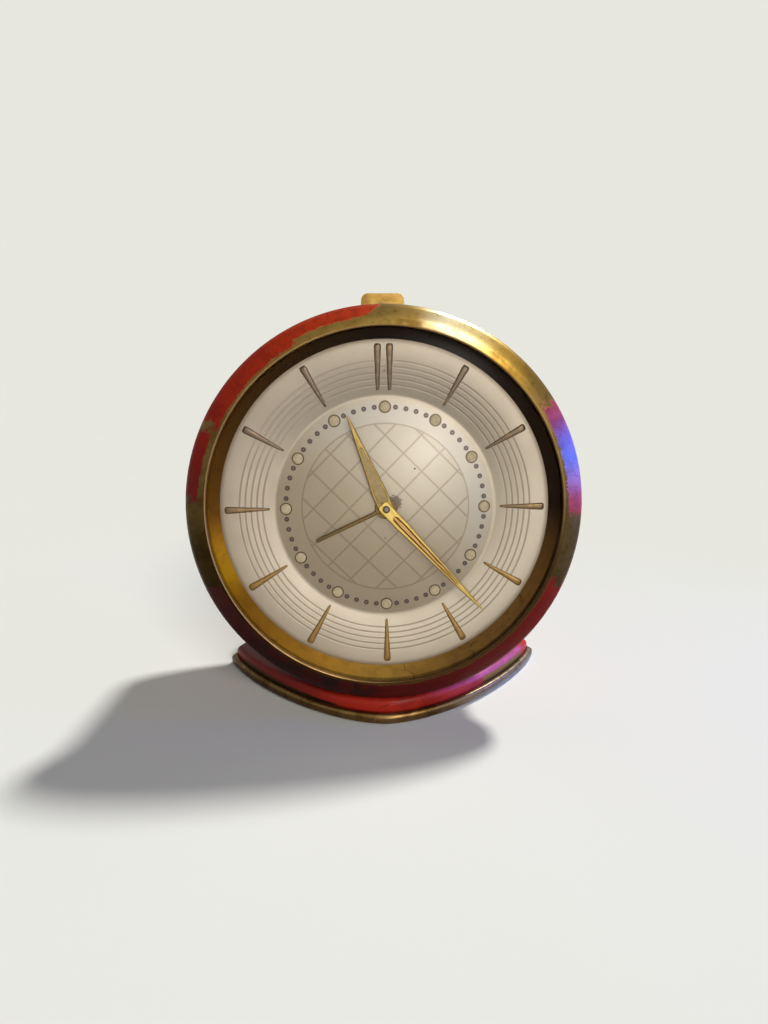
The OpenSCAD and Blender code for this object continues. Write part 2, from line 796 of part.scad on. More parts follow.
module cannon_pinion() {
    color("silver") in_case() translate([0, 0, cannon_z]) rotate([0, 0, cannon_turn]) {
        pinion(cannon_n, hand_mod, cannon_h, cannon_in);
        difference() {
            cylinder(h = cannon_end - cannon_z, r = cannon_out);
            translate([0, 0, -eps]) cylinder(h = 20, r = cannon_in);
        }
    }
}

cannon_turn = 0;
minute_wheel_turn = mesh_turn(cannon_turn, cannon_n, minute_dir, minute_n);
hour_wheel_turn = mesh_turn(minute_wheel_turn, minute_pinion_n, minute_dir + 180, hour_n);
set_turn = mesh_turn(0, alarm_n, set_dir, set_n);

// Lance-shaped outline of a hand that points up
module lance(len, base, shoulder, wide) {
    polygon([[-base / 2, -base / 2], [base / 2, -base / 2], [base / 2, base / 2],
        [wide / 2, shoulder], [0.12, len], [-0.12, len], [-wide / 2, shoulder],
        [-base / 2, base / 2]]);
}

module minute_hand() {
    hub = 2.65;
    color("gold") in_case() translate([0, 0, minute_hand_z]) rotate([0, 0, -minute_turn])
        linear_extrude(minute_hand_t) difference() {
            lance(minute_len, hub, 5.5, 2.9);
            polygon([[-0.35, 3], [0.35, 3], [0.35, 22.5], [-0.35, 22.5]]);
            circle(cannon_out);
        }
}

module hour_hand() {
    hub_w = 3.6;
    color("gold") in_case() translate([0, 0, hour_hand_z]) rotate([0, 0, -hour_turn])
        linear_extrude(hand_t) difference() {
            union() {
                lance(hour_len, 3, 5, 3);
                circle(hub_w / 2);
            }
            polygon([[-0.8, 3], [0.8, 3], [0.25, 14.5], [-0.25, 14.5]]);
            circle(hour_pipe_r);
        }
}

module alarm_hand() {
    color("gold") in_case() translate([0, 0, alarm_hand_z]) rotate([0, 0, -alarm_turn]) {
        linear_extrude(hand_t) difference() {
            union() {
                polygon([[-0.5, 0], [0.5, 0], [0.45, alarm_len], [-0.45, alarm_len]]);
                circle(3.2);
            }
            circle(alarm_pipe_r);
        }
    }
}

module time_knob() {
    color("goldenrod") in_case() translate([0, 0, cover_out - 0.5 - knob_len])
        knob(knob_len, centre_r);
}

// Knurled knob with a bore
module knob(h, bore) {
    flutes = 30;
    difference() {
        linear_extrude(h) polygon([for (i = [0 : 2 * flutes - 1])
            polar(knob_r - (i % 2) * 0.25, i * 180 / flutes)]);
        translate([0, 0, -eps]) cylinder(h = h + 2 * eps, r = bore);
        translate([0, 0, h - 1]) difference() {
            cylinder(h = 2, r = knob_r - 1);
            cylinder(h = 2, r = bore + 1);
        }
    }
}

module clutch_spring() {
    color("silver") in_case() translate([0, 0, centre_z - 3.7]) difference() {
        union() {
            cylinder(h = 0.6, r = centre_r + 0.7);
            translate([0, 0, 0.6]) cylinder(h = 0.3, r1 = centre_r + 0.7, r2 = 2.4);
        }
        translate([0, 0, -eps]) cylinder(h = 2, r = centre_r);
    }
}

module minute_wheel() {
    color("goldenrod") in_case() at(minute_at) {
        translate([0, 0, minute_z]) rotate([0, 0, minute_wheel_turn])
            wheel(minute_n, hand_mod, minute_h, arbor_r + run, 5);
        translate([0, 0, minute_z + minute_h]) rotate([0, 0, minute_wheel_turn])
            pinion(minute_pinion_n, hour_mod, hour_z + wheel_t + 0.1 - minute_z - minute_h,
                arbor_r + run);
    }
}

// Wheel on a pipe that carries a hand
module piped_wheel(teeth, mod, z, t, pipe_r, bore, end) {
    translate([0, 0, z]) wheel(teeth, mod, t, bore, 5);
    difference() {
        translate([0, 0, z]) cylinder(h = end - z, r = pipe_r);
        translate([0, 0, z - eps]) cylinder(h = end - z + 2 * eps, r = bore);
    }
}

module hour_wheel() {
    color("goldenrod") in_case() rotate([0, 0, hour_wheel_turn]) piped_wheel(
        hour_n, hour_mod, hour_z, wheel_t, hour_pipe_r, cannon_out + run, hour_hand_z + 0.4);
}

module alarm_wheel() {
    color("goldenrod") in_case() piped_wheel(alarm_n, hand_mod, alarm_z, alarm_t,
        alarm_pipe_r, hour_pipe_r + run, alarm_hand_z + 0.35);
}

module alarm_set_arbor() {
    top = alarm_z + alarm_t + 0.3;
    color("silver") in_case() at(set_at) {
        translate([0, 0, cover_out - 0.6 - knob_len])
            cylinder(h = top - cover_out + 0.6 + knob_len, r = centre_r);
        translate([0, 0, alarm_z - 0.4]) rotate([0, 0, set_turn])
            pinion(set_n, hand_mod, alarm_t + 0.7, centre_r - 0.2);
        translate([0, 0, inner_front - 0.5]) cylinder(h = 0.4, r = 1.6);
    }
}

module alarm_set_knob() {
    color("goldenrod") in_case() at(set_at, cover_out - 0.5 - knob_len) knob(knob_len, centre_r);
}

// Going train

centre_turn = mesh_turn(0, great_n, time_dir + 180, centre_pinion_n);
third_turn = mesh_turn(0, centre_n, third_dir, third_pinion_n);
fourth_turn = mesh_turn(third_turn, third_n, fourth_dir, fourth_pinion_n);
escape_turn = mesh_turn(fourth_turn, fourth_n, escape_dir, escape_pinion_n);
star_turn = mesh_turn(0, ring_n, star_dir, star_pinion_n);

module centre_wheel() {
    color("goldenrod") in_case() {
        translate([0, 0, centre_z]) wheel(centre_n, centre_mod, thin_t, centre_r + run, 5);
        translate([0, 0, centre_z - 2.7]) rotate([0, 0, centre_turn])
            pinion(centre_pinion_n, great_mod, 2, centre_r + run);
        difference() {
            translate([0, 0, centre_z - 0.8]) cylinder(h = 1.7, r = 1.7);
            translate([0, 0, centre_z - 2]) cylinder(h = 4, r = centre_r + run);
        }
    }
}

module third_wheel() {
    color("goldenrod") in_case() at(third_at) {
        arbor();
        translate([0, 0, centre_z - 0.4]) rotate([0, 0, third_turn])
            pinion(third_pinion_n, centre_mod, 1.3, arbor_r - 0.1);
        translate([0, 0, third_z]) rotate([0, 0, third_turn])
            wheel(third_n, third_mod, thin_t, arbor_r - 0.1, 5);
    }
}

module fourth_wheel() {
    color("goldenrod") in_case() at(fourth_at) {
        arbor(0.6);
        translate([0, 0, third_z - 0.6]) rotate([0, 0, fourth_turn])
            pinion(fourth_pinion_n, third_mod, 1.8, 0.5);
        translate([0, 0, fourth_z]) rotate([0, 0, fourth_turn])
            wheel(fourth_n, fourth_mod, thin_t, 0.5, 5);
    }
}

// Wheel outline with pointed teeth and one tooth on the x axis
module pointed_2d(teeth, tip_r, root_r, tip_w) {
    ta = tip_w / tip_r * 90 / PI;
    ra = 360 / teeth * 0.22;
    polygon([for (i = [0 : teeth - 1], s = [[root_r, -ra], [tip_r, -ta], [tip_r, ta], [root_r, ra]])
        polar(s[0], i * 360 / teeth + s[1])]);
}

module escape_wheel() {
    color("goldenrod") in_case() at(escape_at) {
        arbor(0.5);
        translate([0, 0, fourth_z - 0.6]) rotate([0, 0, escape_turn])
            pinion(escape_pinion_n, fourth_mod, 1.8, 0.45);
        translate([0, 0, escape_z]) linear_extrude(thin_t) difference() {
            pointed_2d(escape_n, escape_r, escape_r - 1.1, 0.3);
            circle(0.45);
            for (i = [0 : 3]) rotate([0, 0, 90 * i]) translate([2, 0]) circle(0.7, $fn = 24);
        }
    }
}

// Winding parts

// Ratchet wheel: the radial faces block a clockwise turn
module ratchet(h) {
    linear_extrude(h) polygon([for (i = [0 : ratchet_n - 1], r = [ratchet_root, ratchet_r])
        polar(r, i * 360 / ratchet_n)]);
}

// Spring-loaded click whose tip rests in a gap of the ratchet
module click(h) {
    pivot = polar(click_r, click_dir);
    difference() {
        union() {
            linear_extrude(h) polygon([[4.47, -0.12], [5.9, -0.12], [7.3, -1.6],
                pivot + [1, -0.2], pivot + [-1, -0.2], [5.12, -1.0]]);
            at(pivot) cylinder(h = h, r = 1.2);
        }
        at(pivot, -eps) cylinder(h = h + 1, r = 0.5 + run);
    }
}

click_r = 8.2;
click_dir = -48;

// Great wheel that turns on its winding arbor and carries the click's stud
module great_wheel(teeth, mod, t) {
    wheel(teeth, mod, t, wind_r + run, 0);
    at(polar(click_r, click_dir), t) cylinder(h = gap + ratchet_t + 0.2, r = 0.5);
}

// Winding arbor with its ratchet, hub and front pivot
module winding_arbor(spring_h) {
    hub_low = spring_front - spring_h - 0.2;
    translate([0, 0, key_z - 4]) cylinder(h = ratchet_z - key_z + 4, r = wind_r);
    translate([0, 0, hub_low]) cylinder(h = great_z - 0.2 - hub_low, r = hub_r);
    translate([0, 0, ratchet_z]) ratchet(ratchet_t);
    translate([0, 0, ratchet_z]) cylinder(h = inner_front - 0.2 - ratchet_z, r = wind_r);
    translate([0, 0, ratchet_z]) cylinder(h = front_z - 0.1 - ratchet_z, r = 1);
    translate([0, 0, inner_rear + 0.1]) cylinder(h = 0.5, r = hub_r);
}

module winding_key() {
    wing_r = 4.3;
    wing_t = 1.6;
    wing_z = key_z - key_len + wing_r;
    difference() {
        union() {
            translate([0, 0, key_z - 5]) cylinder(h = 5, r = wind_r + 1.2);
            translate([0, wing_t / 2, 0]) rotate([90, 0, 0]) linear_extrude(wing_t) difference() {
                union() {
                    for (s = [-1, 1]) translate([s * (key_w / 2 - wing_r), wing_z]) circle(wing_r);
                    translate([-key_w / 2 + wing_r, wing_z - 2.6])
                        square([key_w - 2 * wing_r, key_len - wing_r - 1.9]);
                }
                for (s = [-1, 1]) translate([s * (key_w / 2 - wing_r), wing_z])
                    circle(wing_r - 2.2);
            }
        }
        translate([0, 0, key_z - 4]) cylinder(h = 5, r = wind_r);
    }
}

// Spiral strip from the hub out to an eye round its anchor post
module mainspring(post, turns, h) {
    far = norm(post) - eye_r + strip_t * 0.35;
    near = hub_r + 0.1 + strip_t / 2;
    end = atan2(post[1], post[0]);
    per = 24;
    n = round(turns * per);
    line = [for (i = [0 : n]) [near + (far - near) * i / n, end - 360 * (n - i) / per]];
    difference() {
        union() {
            linear_extrude(h) polygon(concat(
                [for (p = line) polar(p[0] + strip_t / 2, p[1])],
                [for (i = [n : -1 : 0]) polar(line[i][0] - strip_t / 2, line[i][1])]));
            at(post) cylinder(h = h, r = eye_r);
        }
        at(post, -eps) cylinder(h = h + 1, r = post_r + run);
    }
}

module time_great_wheel() {
    color("goldenrod") in_case() at(time_at, great_z) great_wheel(great_n, great_mod, great_t);
}

module time_click() {
    color("silver") in_case() at(time_at, ratchet_z) click(ratchet_t);
}

module time_arbor() {
    color("silver") in_case() at(time_at) winding_arbor(time_spring_h);
}

module time_key() {
    color("goldenrod") in_case() at(time_at) rotate([0, 0, 25]) winding_key();
}

module time_mainspring() {
    color("lightsteelblue") in_case() at(time_at, spring_front - time_spring_h)
        mainspring(time_post_at - time_at, 8, time_spring_h);
}

module alarm_great_wheel() {
    color("goldenrod") in_case() at(alarm_at, great_z) great_wheel(ring_n, ring_mod, great_t - 0.1);
}

module alarm_click() {
    color("silver") in_case() at(alarm_at, ratchet_z) click(ratchet_t);
}

module alarm_arbor() {
    color("silver") in_case() at(alarm_at) winding_arbor(alarm_spring_h);
}

module alarm_key() {
    color("goldenrod") in_case() at(alarm_at) rotate([0, 0, -20]) winding_key();
}

module alarm_mainspring() {
    color("lightsteelblue") in_case() at(alarm_at, spring_front - alarm_spring_h)
        mainspring(alarm_post_at - alarm_at, 6, alarm_spring_h);
}

// Alarm train

module alarm_star_wheel() {
    color("goldenrod") in_case() at(star_at) {
        arbor();
        translate([0, 0, great_z - 0.5]) rotate([0, 0, star_turn])
            pinion(star_pinion_n, ring_mod, 2, arbor_r - 0.1);
        translate([0, 0, star_z]) linear_extrude(star_t) difference() {
            pointed_2d(star_n, star_r, star_r - 1.4, 0.4);
            circle(arbor_r - 0.1);
        }
    }
}

// Hammer with its arbor, verge, head and the arm that the release lever blocks
module hammer() {
    tip = polar(hammer_len, hammer_dir);
    to_star = star_at - hammer_at;
    aim = atan2(to_star[1], to_star[0]);
    reach = norm(to_star);
    color("silver") in_case() at(hammer_at) {
        translate([0, 0, inner_rear + 0.15]) cylinder(h = leaf_z - 0.4 - inner_rear - 0.15, r = arbor_r);
        translate([0, 0, rear_z + 0.1]) cylinder(h = 2, r = pivot_r);
        translate([0, 0, head_z + 1]) {
            cylinder(h = 1.4, r = 1.5);
            bar([0, 0], tip, 1.2, 0.8);
        }
        at(tip, head_z) cylinder(h = head_h, r = head_r);
        translate([0, 0, verge_z]) {
            cylinder(h = thin_t, r = 1.4);
            for (s = [-1, 1]) let (p = to_star + polar(star_r, aim + 180 + s * 45)) {
                bar([0, 0], p, 1, thin_t);
                at(p, star_z + star_t + 0.1 - verge_z) cylinder(h = 0.5, r = 0.4);
            }
        }
        translate([0, 0, front_z + 0.7]) bar([0, 0], [0, -4.2], 1.2, 0.8);
    }
}

// Escapement and balance

module pallet_lever() {
    to_wheel = escape_at - lever_at;
    aim = atan2(to_wheel[1], to_wheel[0]);
    to_balance = balance_at - lever_at;
    fork_dir = atan2(to_balance[1], to_balance[0]);
    fork = norm(to_balance) - 1.7;
    color("silver") in_case() at(lever_at) {
        arbor(0.5);
        translate([0, 0, lever_z]) {
            cylinder(h = thin_t, r = 1.1);
            for (s = [-1, 1]) let (p = to_wheel + polar(escape_r, aim + 180 + s * 30)) {
                bar([0, 0], p, 0.9, thin_t);
                at(p) cylinder(h = escape_z - lever_z - 0.1, r = 0.22);
            }
            rotate([0, 0, fork_dir]) difference() {
                translate([0, -0.9, 0]) cube([fork + 0.5, 1.8, thin_t]);
                translate([fork - 0.5, -0.35, -eps]) cube([2, 0.7, 1]);
            }
        }
    }
}

module balance_wheel() {
    to_lever = lever_at - balance_at;
    aim = atan2(to_lever[1], to_lever[0]);
    low = inner_rear + 1.25;
    top = inner_front - 1.25;
    color("goldenrod") in_case() at(balance_at) {
        translate([0, 0, low]) cylinder(h = top - low, r = 0.6);
        translate([0, 0, top]) cylinder(h = 0.6, r1 = 0.6, r2 = 0.05);
        translate([0, 0, low - 0.6]) cylinder(h = 0.6, r1 = 0.05, r2 = 0.6);
        translate([0, 0, roller_z]) cylinder(h = thin_t, r = 2.1);
        at(polar(1.7, aim), roller_z) cylinder(h = lever_z - roller_z - 0.15, r = 0.25);
        translate([0, 0, rim_z]) {
            difference() {
                cylinder(h = 1.2, r = balance_r);
                translate([0, 0, -eps]) cylinder(h = 2, r = balance_r - 1.1);
            }
            cylinder(h = 1.2, r = 1.4);
            for (a = [20 : 120 : 260]) rotate([0, 0, a]) translate([0, -0.5, 0.3])
                cube([balance_r - 0.8, 1, 0.6]);
        }
        translate([0, 0, hair_z - 0.2]) cylinder(h = 0.9, r = 1.2);
    }
}

// Hairspring: a spiral that ends on a round stretch held in the stud
module hairspring() {
    turns = 7;
    per = 24;
    flat = 80;
    n = turns * per;
    near = 1.2 + run + hair_t / 2;
    end = stud_dir;
    line = concat(
        [for (i = [0 : n - 1]) [near + (hair_r - near) * i / n, end - flat - 360 * (n - i) / per]],
        [for (a = [-flat : 5 : 0]) [hair_r, end + a]]);
    m = len(line) - 1;
    color("steelblue") in_case() at(balance_at, hair_z) linear_extrude(hair_h)
        polygon(concat([for (p = line) polar(p[0] + hair_t / 2, p[1])],
            [for (i = [m : -1 : 0]) polar(line[i][0] - hair_t / 2, line[i][1])]));
}

// Regulator with two curb pins and a tail that comes out through the rear cover
module regulator() {
    tail_dir = atan2(balance_at[1], balance_at[0]);
    t = 0.6;
    pin_r = 0.15;
    off = hair_t / 2 + 0.05 + pin_r;
    color("silver") in_case() at(balance_at, reg_z) {
        difference() {
            union() {
                cylinder(h = t, r = 3);
                rotate([0, 0, tail_dir]) translate([0, -0.7, 0]) cube([9.1, 1.4, t]);
                rotate([0, 0, curb_dir]) translate([0, -0.6, 0]) cube([hair_r + 0.8, 1.2, t]);
            }
            translate([0, 0, -eps]) cylinder(h = 2, r = 1.5 + run);
        }
        for (s = [-1, 1]) at(polar(hair_r + s * off, curb_dir))
            cylinder(h = hair_z + hair_h + 0.2 - reg_z, r = pin_r);
        rotate([0, 0, tail_dir]) translate([8.1, -0.6, cover_out - 1.2 - reg_z])
            cube([1, 1.2, reg_z - cover_out + 1.2 + t]);
    }
}

// Release lever, which the hour wheel lets rise when the alarm is due
module release_lever() {
    color("silver") in_case() {
        difference() {
            translate([leaf_pivot_x - 0.6, -1.5, leaf_z])
                cube([-leaf_pivot_x + 0.6 - 0.9, 3, leaf_t]);
            translate([-3.5, -1.1, leaf_z - eps]) cube([5, 2.2, 1]);
        }
        translate([leaf_pivot_x - 0.6, -1.5, leaf_pivot_z]) cube([1.2, 3, leaf_z - leaf_pivot_z + 0.1]);
        translate([leaf_pivot_x, -3.2, leaf_pivot_z]) rotate([-90, 0, 0]) cylinder(h = 6.4, r = 0.5);
        translate([hammer_at[0] - 2.7, -1, front_z + 0.9]) cube([0.8, 2, leaf_z - front_z - 0.8]);
    }
}

// Stop button and its lever

module stop_button() {
    clip_y = drum_in_r - 2.2;
    color("gold") in_case() translate([0, 0, stem_z]) {
        difference() {
            translate([0, 0, -button_depth / 2]) linear_extrude(button_depth) polygon([
                [-button_w_low / 2, button_low], [button_w_low / 2, button_low],
                [button_w_low / 2 - 0.3, button_low + 2.6], [button_w / 2 + 0.2, button_top - 1],
                [button_w / 2 - 0.3, button_top - 0.3], [button_w / 2 - 1, button_top],
                [1 - button_w / 2, button_top], [0.3 - button_w / 2, button_top - 0.3],
                [-button_w / 2 - 0.2, button_top - 1], [0.3 - button_w_low / 2, button_low + 2.6]]);
            rotate([-90, 0, 0]) cylinder(h = pocket_top, r = pocket_r);
        }
        rotate([-90, 0, 0]) {
            translate([0, 0, stem_end]) cylinder(h = pocket_top + 0.5 - stem_end, r = stem_r);
            translate([0, 0, clip_y - 0.5]) cylinder(h = 0.5, r = stem_r + 0.9);
        }
    }
}

module stop_lever() {
    y0 = stem_end - 0.25;
    tab = hammer_at + polar(hammer_len + head_r + 0.5 + stop_lift, hammer_dir);
    z = stem_z - 0.4;
    color("silver") in_case() {
        difference() {
            translate([0, 0, z]) union() {
                at(stop_pivot) cylinder(h = 0.8, r = 1.6);
                bar([-3, y0 - 1], [3, y0 - 1], 2, 0.8);
                bar(stop_pivot, [2.4, y0 - 1.1], 1.8, 0.8);
                bar([-2.4, y0 - 1.1], stop_bend, 1.8, 0.8);
                bar(stop_bend + [0.3, 0.3], stop_reach, 1.8, 0.8);
                bar(stop_reach + [0.4, 0.6], tab, 1.8, 0.8);
            }
            at(stop_pivot, z - 1) cylinder(h = 3, r = arbor_r + run);
        }
        at(tab, head_z + 1.4) cylinder(h = z + 0.8 - head_z - 1.4, r = 0.8);
    }
}

stop_lift = 3.4;

// Coil spring under the button, one unbroken tube round the stem
module button_spring() {
    wire = 0.25;
    coil = 2.3;
    turns = 4;
    per = 8;
    sides = 6;
    z0 = bush_top + wire;
    z1 = pocket_top - wire;
    n = turns * per;
    points = [for (i = [0 : n], k = [0 : sides - 1])
        let (a = 360 * i / per, b = 360 * k / sides, r = coil + wire * cos(b))
        [r * cos(a), r * sin(a), z0 + (z1 - z0) * i / n + wire * sin(b)]];
    echo(button_spring_gap = min([for (i = [0 : n - per], k = [0 : sides - 1], m = [0 : sides - 1])
        norm(points[i * sides + k] - points[(i + per) * sides + m])]));
    walls = [for (i = [0 : n - 1], k = [0 : sides - 1])
        let (p = i * sides + k, q = i * sides + (k + 1) % sides)
        each [[p, q, q + sides], [p, q + sides, p + sides]]];
    ends = [for (k = [1 : sides - 2]) each [[0, k + 1, k],
        [n * sides, n * sides + k, n * sides + k + 1]]];
    color("silver") in_case() translate([0, 0, stem_z]) rotate([-90, 0, 0])
        polyhedron(points, concat(walls, ends));
}

case_drum();
bezel();
crystal();
reflector_ring();
dial();
hour_markers();
hour_plots();
mount_ring();
rear_cover();
case_screws();
button_bush();
cradle();
foot_screws();
nut_plate();
foot_shell();
foot_rim();
foot_pad();
front_plate();
rear_plate();
pillars();
pillar_nuts();
plate_posts();
gong_post();
balance_cups();
centre_arbor();
cannon_pinion();
minute_hand();
time_knob();
clutch_spring();
minute_wheel();
hour_wheel();
hour_hand();
alarm_wheel();
alarm_hand();
alarm_set_arbor();
alarm_set_knob();
centre_wheel();
third_wheel();
fourth_wheel();
escape_wheel();
time_great_wheel();
time_click();
time_arbor();
time_key();
time_mainspring();
alarm_great_wheel();
alarm_click();
alarm_arbor();
alarm_key();
alarm_mainspring();
alarm_star_wheel();
hammer();
pallet_lever();
balance_wheel();
hairspring();
regulator();
release_lever();
stop_button();
stop_lever();
button_spring();
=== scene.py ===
import json
import math

import bpy
from mathutils import Matrix, Vector


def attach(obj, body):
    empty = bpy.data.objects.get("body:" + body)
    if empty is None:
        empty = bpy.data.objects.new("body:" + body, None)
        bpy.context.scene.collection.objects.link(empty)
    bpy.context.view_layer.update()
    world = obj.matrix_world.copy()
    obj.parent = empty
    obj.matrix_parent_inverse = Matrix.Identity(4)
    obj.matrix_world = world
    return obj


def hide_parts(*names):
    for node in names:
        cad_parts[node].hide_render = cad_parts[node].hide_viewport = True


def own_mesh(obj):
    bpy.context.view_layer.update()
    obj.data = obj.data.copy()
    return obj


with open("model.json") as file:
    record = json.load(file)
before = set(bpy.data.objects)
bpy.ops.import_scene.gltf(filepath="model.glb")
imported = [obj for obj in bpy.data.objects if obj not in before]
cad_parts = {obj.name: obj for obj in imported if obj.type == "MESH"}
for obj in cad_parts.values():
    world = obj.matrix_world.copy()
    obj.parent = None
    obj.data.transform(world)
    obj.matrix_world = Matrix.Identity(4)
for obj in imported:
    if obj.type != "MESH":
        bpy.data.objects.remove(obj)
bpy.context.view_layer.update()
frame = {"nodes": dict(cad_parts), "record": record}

# Sizes are in mm and angles in degrees, in the dial's frame: x to the right, y up the dial and z
# towards the viewer. The foot's sizes are in the clock's own frame
MM = 0.001
LEAN = 8.0
DIAL_AHEAD = 17.0
DIAL_HEIGHT = 48.287

# Case
BEZEL_R = 43.0
EDGE_Z = 4.0
LIP_R = 38.2
LIP_Z = 5.8
LIP_UNDER = 5.0
CAVITY_R = 40.0
CRYSTAL_R = 39.75
CRYSTAL_T = 1.3
CRYSTAL_DOME = 2.2
DRUM_R = 39.0
DRUM_FRONT = -0.6
SKIRT_R = 39.8
SKIRT_Z = -5.0

# Dial. The valley lies between the dome and the hour ring, and plots are the luminous spots
DIAL_R = 36.5
DIAL_T = 0.45
DIAL_DIP = 1.0
DIAL_RIM = 0.5
DIAL_EDGE = 37.6
VALLEY_R = 24.7
PLOT_RING = 22.3
PLOT_R = 1.15
LATTICE_R = 18.7
LATTICE_PITCH = 5.7
MARKER_IN = 25.8
MARKER_OUT = 35.5
MARKER_W = 1.8

# Hands: turn clockwise from twelve, height of the underside
MINUTE = (136.9, 2.2)
HOUR = (338.0, 1.35)
ALARM = (245.1, 0.55)
PIPE_R = 1.62
COLLET_R = 2.4

# Foot. The powers are the exponents of its outline
FOOT_W = 83.2
FOOT_D = 56.8
FRONT_POWER = 1.65
END_POWER = 1.2
RIM_TOP = 2.7
RIM_LOW = 0.3
RIM_WALL = 1.3
RIM_IN = 1.55
SHELL_INSET = 1.7
SHELL_TOP = 5.4
SHELL_WALL = 1.0
TRAY_Z = 0.8
TRAY_T = 0.8

# Meshes: points round a turned piece or the foot, angles above which an edge stays crisp or is
# bevelled, distance at which points are welded
AROUND = 288
CREASE = 40
HAND_CREASE = 25
BEVEL_FROM = 35
WELD = 0.002

# Camera, in the dial's frame: its distance from the plane of the spots, its shift to the side,
# its rise over the dial's axis, its turns, its focal length in pixels and the image's height
CAM_DISTANCE = 120.0
CAM_SIDE = -4.9
CAM_RISE = 7.1
CAM_PITCH = -0.47
CAM_YAW = 2.15
CAM_ROLL = -0.8
CAM_FOCAL_PX = 534.3
PLOT_PLANE = -0.8
SENSOR = 36.0
IMAGE_H = 1024

# Floor: half its side in metres. Pale is the colour of what is seen beyond it
FLOOR = 40.0
PALE = (0.800, 0.800, 0.735, 1.0)

# Light. Each sun has the direction towards it, its strength and its angle. The glint's direction
# is right, away from the viewer and up the dial. With the fill they add up to 1 on the floor. The
# edge lamp is a weak blue disc at the right. Places are in metres, and all aim at the middle
SUNS = {"overhead": ((0.446, 0.312, 0.839), 2.58, 6.0),
        "front": ((0.325, -0.743, 0.584), 1.2, 22.0)}
GLINT = ((0.17, -0.985, 0.054), 0.40, 5.0)
FILL = 0.06
EDGE_PLACE = (0.336, -0.068, 0.080)
EDGE_POWER = 0.045
EDGE_SIZE = 0.08
EDGE_COLOUR = (0.16, 0.20, 1.0)
EDGE_SPREAD = 60
MIDDLE = Vector((0, -0.017, 0.048))

CASE = (Matrix.Translation((0, -DIAL_AHEAD * MM, DIAL_HEIGHT * MM))
        @ Matrix.Rotation(math.radians(90 - LEAN), 4, "X"))


# Node helper

